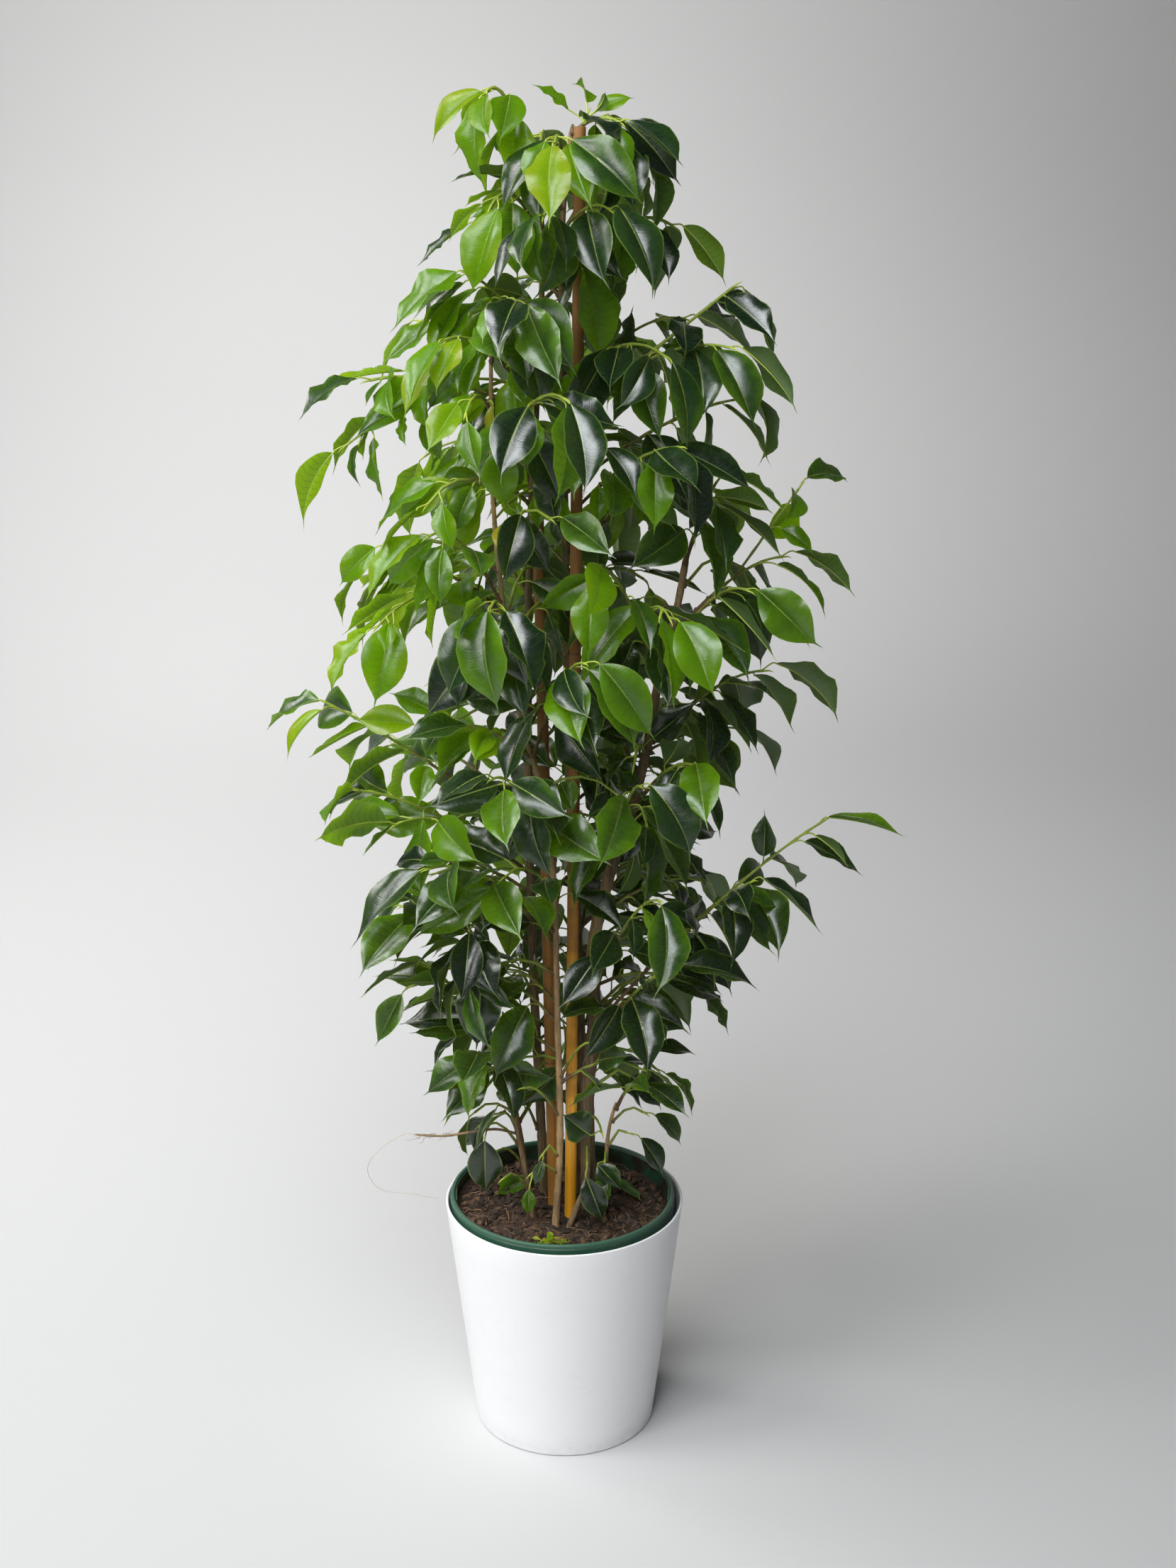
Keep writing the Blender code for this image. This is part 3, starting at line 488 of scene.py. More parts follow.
def caneMaterial(name, freshness):
    # A bamboo cane; freshness from 0, brown all along, to 1, yellow at its foot.
    made, tree, skin, place = newMaterial(name)
    grain = useGroup(tree, barkGrain, {
        "Place": place, "Scale": 45.0, "Stretch": (1, 1, 0.03), "Speck Scale": 150.0, "Speck Size": 0.16})
    wear = useGroup(tree, dustAndScuffs, {"Place": place, "Dust Scale": 18.0, "Dust Amount": 0.2})
    height = plus(tree, axisOf(tree, place, "Z"), times(tree, grain["Patch"], 0.12))
    old = spread(tree, height, *caneLook["agedHeights"], 1 - freshness, 1.0)
    colour = blend(tree, old, caneLook["fresh"], caneLook["aged"])
    colour = tint(tree, colour, grain["Fibre"], 0.35, caneLook["fibre"])
    colour = tint(tree, colour, grain["Speck"], 0.6, caneLook["stain"])
    colour = tint(tree, colour, pointMarks(tree)["edge"], 0.75, caneLook["stain"])
    colour = blend(tree, wear["Dust"], colour, caneLook["dust"])
    finishSkin(tree, skin, colour, plus(tree, 0.32, times(tree, old, 0.3)), grain["Fibre"], 0.25, 0.0005)
    return made


whitePotLook = {
    "colour": (0.84, 0.845, 0.86),
    "grime": (0.48, 0.46, 0.43),
    "grimeTop": 0.030,                       # height that the grime at the foot reaches
    "roughness": 0.30,
}


def whitePotMaterial():
    made, tree, skin, place = newMaterial("whitePlastic")
    wear = useGroup(tree, dustAndScuffs, {
        "Place": place, "Dust Scale": 16.0, "Dust Amount": 0.14, "Scuff Scale": 30.0, "Scuff Amount": 0.25,
        "Skin Scale": 420.0})
    low = spread(tree, axisOf(tree, place, "Z"), 0.0, whitePotLook["grimeTop"], 0.30, 0.0, smooth=True)
    grime = times(tree, low, spread(tree, grainNoise(tree, place, 60.0, 4.0), 0.35, 0.75))
    soiled = plus(tree, grime, wear["Dust"], clamp=True)
    colour = blend(tree, soiled, whitePotLook["colour"], whitePotLook["grime"])
    rough = plus(tree, whitePotLook["roughness"], times(tree, wear["Scuff"], 0.5))
    finishSkin(tree, skin, colour, plus(tree, rough, times(tree, grime, 0.4)), wear["Skin"], 0.10, 0.0004)
    return made


greenPotLook = {
    "colour": (0.016, 0.070, 0.040),
    "worn": (0.060, 0.150, 0.095),
    "dust": (0.130, 0.115, 0.090),
    "soilStain": (0.030, 0.020, 0.012),
    "roughness": 0.36,
}


def greenPotMaterial():
    # The rim's edges are worn pale, and the inside is stained by soil.
    made, tree, skin, place = newMaterial("greenPlastic")
    marks = pointMarks(tree)
    wear = useGroup(tree, dustAndScuffs, {
        "Place": place, "Dust Scale": 55.0, "Dust Amount": 0.75, "Scuff Scale": 60.0, "Scuff Amount": 0.6,
        "Skin Scale": 1100.0})
    colour = tint(tree, greenPotLook["colour"], marks["edge"], 0.55, greenPotLook["worn"])
    colour = blend(tree, wear["Scuff"], colour, greenPotLook["worn"])
    colour = blend(tree, wear["Dust"], colour, greenPotLook["dust"])
    patches = spread(tree, grainNoise(tree, place, 45.0, 4.0), 0.35, 0.6)
    colour = tint(tree, colour, marks["tone"], patches, greenPotLook["soilStain"])
    roughness = plus(tree, greenPotLook["roughness"], times(tree, wear["Dust"], 0.5))
    finishSkin(tree, skin, colour, roughness, wear["Skin"], 0.18, 0.0004)
    return made


soilLook = {
    "dry": (0.074, 0.042, 0.020),
    "damp": (0.016, 0.010, 0.006),
    "reddish": (0.130, 0.058, 0.031),
    "fibre": (0.300, 0.180, 0.090),
    "crumbs": ((0.018, 0.011, 0.007), (0.170, 0.092, 0.048)),          # the darkest and the lightest
    "looseFibres": ((0.060, 0.035, 0.018), (0.420, 0.270, 0.140)),
}


def soilMaterial():
    # Potting soil, more reddish at the left.
    made, tree, skin, place = newMaterial("pottingSoil")
    grain = useGroup(tree, barkGrain, {
        "Place": place, "Scale": 110.0, "Stretch": (1, 1, 1), "Speck Scale": 520.0, "Speck Size": 0.35})
    colour = blend(tree, grain["Patch"], soilLook["damp"], soilLook["dry"])
    colour = tint(tree, colour, grain["Fibre"], 0.5, soilLook["damp"])
    red = blend(tree, grain["Fibre"], soilLook["damp"], soilLook["reddish"])
    colour = blend(tree, spread(tree, axisOf(tree, place, "X"), 0.02, -0.10, 0.0, 0.55), colour, red)
    colour = tint(tree, colour, grain["Speck"], 0.5, soilLook["fibre"])
    roughness = spread(tree, grain["Patch"], 0.0, 1.0, 0.72, 0.95)
    finishSkin(tree, skin, colour, roughness, grain["Relief"], 1.0, 0.003)
    return made


def crumbMaterial(name, dark, light):
    # Bark crumbs and fibres: each has its own tone.
    made, tree, skin, place = newMaterial(name)
    grain = useGroup(tree, barkGrain, {
        "Place": place, "Scale": 160.0, "Stretch": (0.4, 1, 1), "Speck Scale": 900.0})
    tone = pointMarks(tree)["tone"]
    colour = tint(tree, dark, tone, spread(tree, grain["Fibre"], 0.0, 1.0, 0.6, 1.0), light)
    roughness = spread(tree, grain["Patch"], 0.0, 1.0, 0.70, 0.92)
    finishSkin(tree, skin, colour, roughness, grain["Relief"], 0.8, 0.001)
    return made


# Layout: the stems, shoots and leaves of the solids, from the same values and the same draws

soilTop = 0.262
stemForm = {
    "plantingDepth": 0.062,
    "straightAbove": 0.010,
    "ringSpacing": 0.070,
    "caneJointSpacing": 0.24,
    "caneJointBulge": 0.0006,
    "rootSpacing": 0.025,
    "rootSides": 5,
}
shootForm = {
    "rootRadius": 0.0020,
    "tipRadius": 0.0014,
    "ringSpacing": 0.065,
    "sides": 3,
    "sideTaper": 0.9,            # tip of a side shoot, as a share of the tip radius
    "archFirst": 0.33,           # where the two handles of a shoot's arch stand
    "archSecond": 0.72,
    "archLift": 1.1,             # lift of the second handle, as a share of the first one's
    "gap": 0.0005,               # between a shoot and its stem
    "probe": 0.03,               # from how far a stem's side is looked for
}
leafForm = {
    "widthShare": 0.52,          # blade width as a share of its length
    "thickness": 0.0014,         # of the solid blade, at its midrib
    "stalkLength": 0.017,
    "stalkRootRadius": 0.0004,
    "stalkRadius": 0.0010,
    "stalkDepth": 1.7,           # depth at the blade, as a share of the radius
    "clearance": 0.0012,         # kept round each leaf
    "lowest": 0.288,             # no leaf of a shoot hangs below this
    "boxRoom": 0.003,            # how far the added leaves may go past the solids' box
    # How much each direction draws the blade, its stalk and its face, in the order that makeLeaf adds them
    "runPull": (0.45, 0.60, 0.30, 0.60),
    "stalkPull": (0.5, 0.6, 0.4, 0.25, 0.2),
    "facePull": (0.65, 0.65, 0.25, 0.80),
    "endPull": 0.3,              # of the last leaf along its shoot
    "sizes": (0.82, 1.10),       # the ranges of what chance gives each leaf
    "stalks": (0.8, 1.25),
    "widths": (0.88, 1.12),
    "arches": (0.20, 1.05),      # radians
    "fold": 0.30,                # how far each half rises, in radians, and the range of that
    "foldShares": (0.5, 1.3),
    "tones": (-0.18, 0.18),
    "tipCurl": 0.07,             # share of the length that the tip curls aside
    "curlFrom": 0.7,
    "curlOver": 0.3,
    "leastRunOn": 0.35,          # a stalk runs on into its blade at least so well
    "first": 0.30,               # where the lowest leaf of a shoot grows, and of a side shoot
    "firstAtSide": 0.35,
    "last": 0.97,
    "tries": 24,
    "shrink": 0.012,             # of the length, at each further try
}

# Stems and canes: radius in the soil, radius at the top, sides, and the route from the soil up.
stemTable = {
    "cane_front": (0.0065, 0.0060, 8, [(0.007, -0.030, soilTop), (0.019, -0.018, 1.455)]),
    "cane_left": (0.0065, 0.0060, 8, [(-0.012, 0.000, soilTop), (-0.025, 0.000, 1.086)]),
    "stem_right": (0.0090, 0.0035, 8, [
        (0.028, -0.005, soilTop), (0.026, -0.010, 0.406), (0.034, -0.010, 0.500), (0.032, -0.013, 0.582),
        (0.048, -0.018, 0.666), (0.072, -0.020, 0.744), (0.089, -0.028, 0.820), (0.101, -0.028, 0.897),
        (0.119, -0.020, 0.970), (0.130, 0.000, 1.026)]),
    "stem_centre": (0.0060, 0.0025, 8, [
        (0.016, 0.030, soilTop), (0.018, 0.030, 0.516), (0.007, 0.020, 0.770), (0.003, 0.018, 1.082),
        (0.000, 0.004, 1.281), (0.004, 0.002, 1.400), (0.012, 0.005, 1.457)]),
    "stem_left": (0.0055, 0.0025, 8, [
        (-0.023, 0.030, soilTop), (-0.033, 0.030, 0.516), (-0.037, 0.022, 0.730), (-0.035, 0.022, 1.006),
        (-0.020, 0.010, 1.281), (-0.022, 0.000, 1.399), (-0.036, -0.010, 1.431)]),
    "stem_front": (0.0040, 0.0020, 6, [
        (-0.009, -0.050, soilTop), (-0.004, -0.050, 0.375), (-0.006, -0.050, 0.509), (-0.013, -0.055, 0.735),
        (-0.042, -0.065, 0.864), (-0.056, -0.075, 0.958), (-0.068, -0.080, 1.101), (-0.069, -0.060, 1.241)]),
    "stem_low_left": (0.0032, 0.0020, 6, [
        (-0.035, -0.030, soilTop), (-0.047, -0.035, 0.351), (-0.063, -0.040, 0.439), (-0.078, -0.040, 0.546),
        (-0.094, -0.040, 0.605)]),
    "stem_low_back": (0.0030, 0.0020, 6, [
        (-0.040, 0.012, soilTop), (-0.050, 0.000, 0.360), (-0.062, 0.000, 0.430), (-0.068, 0.012, 0.500)]),
    "stem_low_right": (0.0028, 0.0018, 6, [
        (0.045, -0.022, soilTop), (0.049, -0.022, 0.361), (0.058, -0.032, 0.410)]),
}

# Roots that are one with a stem: one comes up in front of the cane, and a dry one reaches out to the left.
rootTable = {
    "stem_right": (0.0035, 0.0035, [
        (0.005, -0.048, soilTop), (0.014, -0.045, 0.285), (0.025, -0.034, 0.312), (0.028, -0.010, 0.345)]),
    "stem_low_left": (0.0016, 0.0012, [
        (-0.050, -0.036, 0.373), (-0.074, -0.050, 0.386), (-0.100, -0.056, 0.386), (-0.132, -0.052, 0.379),
        (-0.165, -0.045, 0.377)]),
}

# Leafy shoots: spray, what the shoot grows from, where (a height on a stem, or a share of the spray's first
# shoot), tip, how far it arches up, leaves, leaf length, how much the leaves hang, and leaf colour from
# 0, dark green, to 1, bright yellow-green, which is partly the leaves' own colour and partly painted light
# and shade: higher on the lit shoots at the left, lower on the shaded ones at the right.
shootTable = (
    ("top_left", "stem_left", 1.420, (-0.072, -0.040, 1.488), 0.030, 5, 0.082, 1.1, 0.8),
    ("top_apex", "stem_centre", 1.447, (0.057, -0.050, 1.462), 0.010, 4, 0.090, 0.8, 0.2),
    ("top_apex", "", 0.20, (0.026, 0.000, 1.466), 0.000, 3, 0.044, -0.5, 0.9),
    ("top_front", "stem_centre", 1.400, (-0.004, -0.120, 1.447), 0.025, 6, 0.092, 1.1, 0.65),
    ("top_right", "stem_centre", 1.385, (0.075, -0.030, 1.437), 0.035, 6, 0.088, 1.0, 0.3),
    ("top_right_low", "stem_centre", 1.310, (0.112, 0.020, 1.357), 0.030, 5, 0.070, 1.0, 0.4),
    ("top_left_low", "stem_left", 1.340, (-0.070, -0.050, 1.378), 0.035, 5, 0.085, 1.1, 0.6),
    ("top_front_low", "stem_centre", 1.300, (-0.015, -0.130, 1.380), 0.030, 5, 0.092, 1.1, 0.3),
    ("top_front_low", "", 0.35, (0.048, -0.110, 1.385), 0.020, 3, 0.098, 1.0, 0.15),
    ("upper_left_arch", "stem_left", 1.240, (-0.090, -0.065, 1.320), 0.010, 6, 0.090, 0.9, 0.55),
    ("upper_left", "stem_left", 1.165, (-0.193, -0.030, 1.210), 0.020, 6, 0.080, 0.6, 0.6),
    ("upper_left", "", 0.40, (-0.217, -0.045, 1.147), 0.010, 4, 0.080, 0.7, 0.7),
    ("upper_left_front", "stem_left", 1.170, (-0.112, -0.110, 1.262), 0.030, 6, 0.090, 1.0, 0.7),
    ("crown_front", "stem_front", 1.232, (-0.040, -0.140, 1.300), 0.030, 6, 0.095, 0.9, 0.25),
    ("upper_front_right", "stem_centre", 1.190, (0.100, -0.090, 1.245), 0.030, 6, 0.092, 1.0, 0.35),
    ("upper_right", "stem_centre", 1.160, (0.172, -0.020, 1.302), 0.000, 6, 0.085, 0.9, 0.35),
    ("upper_right", "", 0.35, (0.167, -0.065, 1.248), 0.015, 5, 0.098, 1.0, 0.3),
    ("right_edge", "stem_centre", 1.085, (0.183, -0.020, 1.190), 0.020, 5, 0.095, 1.0, 0.3),
    ("front_upper", "stem_front", 1.130, (0.004, -0.180, 1.218), 0.030, 6, 0.095, 1.1, 0.35),
    ("front_right", "stem_centre", 1.055, (0.117, -0.120, 1.160), 0.020, 6, 0.095, 1.1, 0.3),
    ("mid_left", "stem_left", 0.930, (-0.190, -0.030, 1.022), 0.030, 5, 0.090, 0.8, 0.5),
    ("mid_left", "", 0.40, (-0.186, -0.095, 0.972), 0.020, 5, 0.090, 0.7, 0.5),
    ("mid_left_front", "stem_front", 0.985, (-0.130, -0.130, 1.073), 0.030, 5, 0.088, 0.9, 0.85),
    ("front_left_dark", "stem_front", 0.910, (-0.067, -0.160, 1.012), 0.030, 6, 0.100, 1.1, 0.15),
    ("front_mid", "stem_right", 0.890, (0.040, -0.140, 1.043), 0.030, 5, 0.090, 1.0, 0.4),
    ("front_mid", "", 0.40, (0.108, -0.130, 0.990), 0.020, 5, 0.100, 1.1, 0.3),
    ("far_right", "stem_right", 0.935, (0.231, 0.020, 1.017), 0.020, 5, 0.092, 0.9, 0.15),
    ("far_right", "", 0.60, (0.244, -0.005, 1.095), 0.000, 2, 0.075, 0.3, 0.5),
    ("mid_right", "stem_right", 0.905, (0.188, -0.080, 1.006), 0.030, 6, 0.095, 1.1, 0.35),
    ("right_crown", "stem_right", 1.010, (0.158, -0.040, 1.110), 0.010, 5, 0.092, 1.1, 0.3),
    ("far_right_low", "stem_right", 0.820, (0.210, -0.040, 0.910), 0.020, 6, 0.095, 0.9, 0.2),
    ("front_low_mid", "stem_front", 0.820, (0.023, -0.170, 0.955), 0.030, 6, 0.105, 1.1, 0.25),
    ("left_tip", "stem_left", 0.705, (-0.250, -0.020, 0.870), 0.010, 6, 0.092, 0.7, 0.6),
    ("left_wide", "stem_left", 0.660, (-0.216, -0.050, 0.782), 0.020, 5, 0.095, 0.35, 0.4),
    ("left_wide", "", 0.35, (-0.174, -0.090, 0.757), 0.015, 4, 0.098, 0.3, 0.35),
    ("left_front_low", "stem_front", 0.710, (-0.070, -0.150, 0.828), 0.030, 6, 0.100, 0.7, 0.12),
    ("left_glossy", "stem_front", 0.620, (-0.138, -0.120, 0.720), 0.030, 6, 0.105, 0.5, 0.25),
    ("right_long", "stem_right", 0.490, (0.280, -0.030, 0.742), 0.020, 7, 0.090, 0.8, 0.2),
    ("right_long", "", 0.35, (0.198, -0.090, 0.694), 0.010, 4, 0.100, 0.9, 0.1),
    ("right_low", "stem_right", 0.530, (0.100, -0.130, 0.689), 0.030, 5, 0.092, 0.65, 0.3),
    ("centre_low", "stem_right", 0.665, (0.080, -0.140, 0.817), 0.030, 5, 0.100, 1.1, 0.25),
    ("centre_right", "stem_right", 0.740, (0.136, -0.090, 0.823), 0.020, 4, 0.085, 1.0, 0.3),
    ("right_low_inner", "stem_right", 0.460, (0.117, -0.080, 0.590), 0.020, 4, 0.088, 0.45, 0.15),
    ("low_left", "stem_low_left", 0.555, (-0.112, -0.080, 0.650), 0.020, 5, 0.095, 0.4, 0.2),
    ("low_left", "", 0.30, (-0.100, -0.095, 0.585), 0.010, 3, 0.090, 0.4, 0.2),
    ("low_left", "", 0.55, (-0.168, -0.060, 0.655), 0.015, 4, 0.095, 0.5, 0.25),
    ("low_right", "stem_low_right", 0.385, (0.080, -0.060, 0.445), 0.010, 3, 0.078, 0.0, 0.5),
    ("low_back_left", "stem_low_back", 0.390, (-0.090, -0.060, 0.482), 0.020, 4, 0.085, 0.45, 0.25),
    ("low_back_left", "", 0.50, (-0.145, -0.035, 0.575), 0.020, 4, 0.092, 0.5, 0.2),
    ("back_top", "stem_left", 1.380, (-0.020, 0.100, 1.440), 0.025, 4, 0.085, 1.1, 0.4),
    ("back_top_low", "stem_centre", 1.290, (0.050, 0.130, 1.350), 0.030, 5, 0.090, 1.1, 0.4),
    ("back_upper_left", "stem_left", 1.200, (-0.150, 0.100, 1.250), 0.030, 4, 0.088, 0.9, 0.5),
    ("back_upper_left", "", 0.35, (-0.070, 0.170, 1.240), 0.020, 3, 0.090, 1.0, 0.4),
    ("back_upper_right", "stem_centre", 1.180, (0.130, 0.120, 1.250), 0.030, 4, 0.090, 0.9, 0.3),
    ("back_upper_right", "", 0.35, (0.040, 0.180, 1.210), 0.020, 3, 0.090, 1.0, 0.35),
    ("back_upper", "stem_left", 1.070, (-0.050, 0.200, 1.130), 0.030, 4, 0.090, 1.0, 0.35),
    ("back_upper", "", 0.40, (-0.150, 0.140, 1.100), 0.020, 3, 0.090, 0.9, 0.45),
    ("back_mid_right", "stem_centre", 1.020, (0.170, 0.150, 1.060), 0.030, 4, 0.092, 0.9, 0.25),
    ("back_mid_right", "", 0.40, (0.060, 0.220, 1.030), 0.020, 3, 0.095, 1.0, 0.3),
    ("back_mid_left", "stem_left", 0.920, (-0.180, 0.140, 0.980), 0.030, 4, 0.092, 0.9, 0.4),
    ("back_mid_left", "", 0.40, (-0.080, 0.220, 0.960), 0.020, 3, 0.095, 1.0, 0.3),
    ("back_mid", "stem_centre", 0.870, (0.030, 0.240, 0.920), 0.030, 4, 0.095, 1.0, 0.25),
    ("back_mid", "", 0.40, (0.160, 0.170, 0.910), 0.020, 3, 0.095, 0.9, 0.25),
    ("back_low_right", "stem_centre", 0.740, (0.200, 0.140, 0.790), 0.030, 4, 0.095, 0.9, 0.2),
    ("back_low_right", "", 0.40, (0.080, 0.220, 0.790), 0.020, 2, 0.100, 1.0, 0.2),
    ("back_low_left", "stem_left", 0.720, (-0.190, 0.130, 0.780), 0.030, 4, 0.095, 0.8, 0.3),
    ("back_low_left", "", 0.40, (-0.090, 0.210, 0.770), 0.020, 2, 0.100, 0.9, 0.25),
    ("back_low", "stem_centre", 0.570, (0.050, 0.170, 0.660), 0.030, 4, 0.098, 0.9, 0.2),
    ("back_low", "", 0.40, (0.150, 0.120, 0.630), 0.020, 3, 0.095, 0.8, 0.2),
    ("back_low", "", 0.30, (-0.100, 0.130, 0.620), 0.020, 2, 0.095, 0.8, 0.25),
)


# Routes and tubes

def smoothRoute(points, spacing):
    # A smooth curve through the points, read at about the given spacing.
    points = [Vector(p) for p in points]
    if len(points) == 2:
        count = max(1, round((points[1] - points[0]).length / spacing))
        return [points[0].lerp(points[1], i / count) for i in range(count + 1)]
    ends = [2 * points[0] - points[1]] + points + [2 * points[-1] - points[-2]]
    route = [points[0]]
    for a, b, c, d in zip(ends, ends[1:], ends[2:], ends[3:]):
        steps = max(1, round((c - b).length / spacing))
        for i in range(1, steps + 1):
            t = i / steps
            route.append(0.5 * (2 * b + (c - a) * t + (2 * a - 5 * b + 4 * c - d) * t * t
                                + (3 * b - a - 3 * c + d) * t ** 3))
    return route


def turned(radius, angle, shift=0.0):
    # X and Y at an angle round an axis.
    return shift + radius * math.cos(angle), radius * math.sin(angle)


def curvePoint(start, first, second, end, t):
    # A point of the curve from start to end that leaves and arrives by its two handles.
    s = 1 - t
    return s ** 3 * start + 3 * s * s * t * first + 3 * s * t * t * second + t ** 3 * end


def archRoute(root, tip, lift, spacing):
    # A shoot that leaves upwards and arches over towards its tip.
    span = tip - root
    first = root + shootForm["archFirst"] * span + lift * up
    second = root + shootForm["archSecond"] * span + shootForm["archLift"] * lift * up
    count = max(2, round(span.length / spacing))
    return [curvePoint(root, first, second, tip, i / count) for i in range(count + 1)]


def ringFrames(route, reference=None):
    # Two directions across a route at each point: they keep to the reference, or turn as little as they can.
    frames = []
    for i in range(len(route)):
        along = (route[min(i + 1, len(route) - 1)] - route[max(i - 1, 0)]).normalized()
        across = reference or (frames[-1][0] if frames else up if abs(along.z) < 0.9 else sideways)
        across = (across - across.dot(along) * along).normalized()
        frames.append((across, along.cross(across)))
    return frames


def ringFaces(low, sides):
    # The faces between the ring of points that starts at low and the next one.
    high = low + sides
    return [(low + k, low + (k + 1) % sides, high + (k + 1) % sides, high + k) for k in range(sides)]


def tubeFaces(rings, sides):
    # The faces of a closed tube: between its rings, and at its two ends.
    faces = [face for i in range(rings - 1) for face in ringFaces(i * sides, sides)]
    return faces + [tuple(reversed(range(sides))), tuple(range((rings - 1) * sides, rings * sides))]


def tubeMesh(route, radii, sides, frames=None, relief=None):
    # Points and faces of a closed tube; relief gives a share of the radius to add at (ring, angle).
    points = []
    for i, (across, other) in enumerate(frames or ringFrames(route)):
        for k in range(sides):
            angle = 2 * math.pi * k / sides
            radius = radii[i] * (1 + relief(i, angle)) if relief else radii[i]
            points.append(route[i] + radius * (math.cos(angle) * across + math.sin(angle) * other))
    return points, tubeFaces(len(route), sides)


def taper(route, start, end):
    # A radius for each point of a route.
    return [start + (end - start) * i / (len(route) - 1) for i in range(len(route))]


# Stems

def stemRoute(name, spacing):
    # The buried part is straight, so that the stem stands in a plain hole.
    points = [Vector(p) for p in stemTable[name][3]]
    if len(points) == 2:
        slope = (points[1] - points[0]) / (points[1].z - points[0].z)
        return [points[0] - stemForm["plantingDepth"] * slope] + smoothRoute(points, spacing)[1:]
    lower = points[0] - stemForm["plantingDepth"] * up
    return [lower] + smoothRoute([points[0] + stemForm["straightAbove"] * up] + points[1:], spacing)


def stemMesh(name, extra=0.0):
    startRadius, endRadius, sides, points = stemTable[name]
    if len(points) == 2:
        return caneMesh(name, extra)
    route = stemRoute(name, stemForm["ringSpacing"])
    radii = [r + extra for r in taper(route, startRadius, endRadius)]
    return tubeMesh(route, radii, sides, ringFrames(route, sideways))


def caneEnds(name):
    # A cane is straight: with no points between, its route is its two ends.
    return stemRoute(name, math.inf)


def caneMesh(name, extra=0.0):
    # A straight cane, slightly thicker at each of its joints.
    startRadius, endRadius, sides, _ = stemTable[name]
    low, high = caneEnds(name)
    spacing = stemForm["caneJointSpacing"] / (high - low).length
    shares = [k * spacing for k in range(math.ceil(1 / spacing))] + [1.0]
    route = [low.lerp(high, share) for share in shares]
    radii = [startRadius + (endRadius - startRadius) * share + extra for share in shares]
    radii[1:-1] = [radius + stemForm["caneJointBulge"] for radius in radii[1:-1]]
    return tubeMesh(route, radii, sides, ringFrames(route, sideways))


def rootMesh(name, extra=0.0):
    startRadius, endRadius, points = rootTable[name]
    route = smoothRoute(points, stemForm["rootSpacing"])
    buried = points[0][2] == soilTop
    if buried:
        route.insert(0, route[0] - stemForm["plantingDepth"] * up)
    radii = [r + extra for r in taper(route, startRadius, endRadius)]
    return tubeMesh(route, radii, stemForm["rootSides"], ringFrames(route, sideways if buried else up))


def stemPoint(name, height):
    # The point of a stem's axis at a height.
    route = stemRoute(name, stemForm["ringSpacing"])
    for low, high in zip(route, route[1:]):
        if low.z <= height <= high.z:
            return low.lerp(high, (height - low.z) / (high.z - low.z))
    return route[-1]


def treeOf(mesh):
    verts, faces = mesh
    return BVHTree.FromPolygons([tuple(v) for v in verts], faces)


# Leaves

def drawVector(draw, low, high):
    # A vector of three draws.
    return Vector([draw.uniform(low, high) for _ in range(3)])


def makeLeaf(root, side, along, hang, length, tone, draw):
    # One leaf: its stalk's root on the shoot, the base, run and upper side of its blade, and its own shape.
    out = Vector((root.x, root.y, 0))
    out = out.normalized() if out.length > 0.01 else Vector((0, -1, 0))
    scatter = drawVector(draw, -1, 1)
    byAlong, bySide, byOut, byChance = leafForm["runPull"]
    run = (byAlong * along + bySide * side + byOut * out - hang * up + byChance * scatter).normalized()
    byRun, bySide, byAlong, byUp, byChance = leafForm["stalkPull"]
    stalk = (byRun * run + bySide * side + byAlong * along + byUp * up + byChance * scatter).normalized()
    byUp, byOut, bySide, byChance = leafForm["facePull"]
    chance = Vector((draw.uniform(-1, 1), draw.uniform(-1, 1), 0))
    face = byUp * up + byOut * out + bySide * side + byChance * chance
    face = (face - face.dot(run) * run).normalized()
    size = length * draw.uniform(*leafForm["sizes"])
    return {
        "root": root,
        "base": root + leafForm["stalkLength"] * draw.uniform(*leafForm["stalks"]) * stalk,
        "run": run,
        "face": face,
        "across": run.cross(face),
        "length": size,
        "width": size * leafForm["widthShare"] * draw.uniform(*leafForm["widths"]),
        "arch": draw.uniform(*leafForm["arches"]),
        "fold": leafForm["fold"] * draw.uniform(*leafForm["foldShares"]),
        "curl": draw.uniform(-1, 1),
        "tone": tone + draw.uniform(*leafForm["tones"]),
    }


def midrib(leaf, share):
    # Place and upper direction of the midrib at a share of the blade's length: an arc, with a curled tip.
    turn = leaf["arch"] * share
    place = leaf["base"] + leaf["length"] / leaf["arch"] * (
        math.sin(turn) * leaf["run"] - (1 - math.cos(turn)) * leaf["face"])
    tip = max(0.0, share - leafForm["curlFrom"]) / leafForm["curlOver"]
    place = place + leafForm["tipCurl"] * leaf["length"] * leaf["curl"] * tip * tip * leaf["across"]
    return place, math.cos(turn) * leaf["face"] + math.sin(turn) * leaf["run"]


# Share of the length, and share of the half width there, from the base to the drip tip.
coarseStations = ((0.00, 0.00), (0.27, 1.00), (0.58, 0.86), (0.84, 0.17))


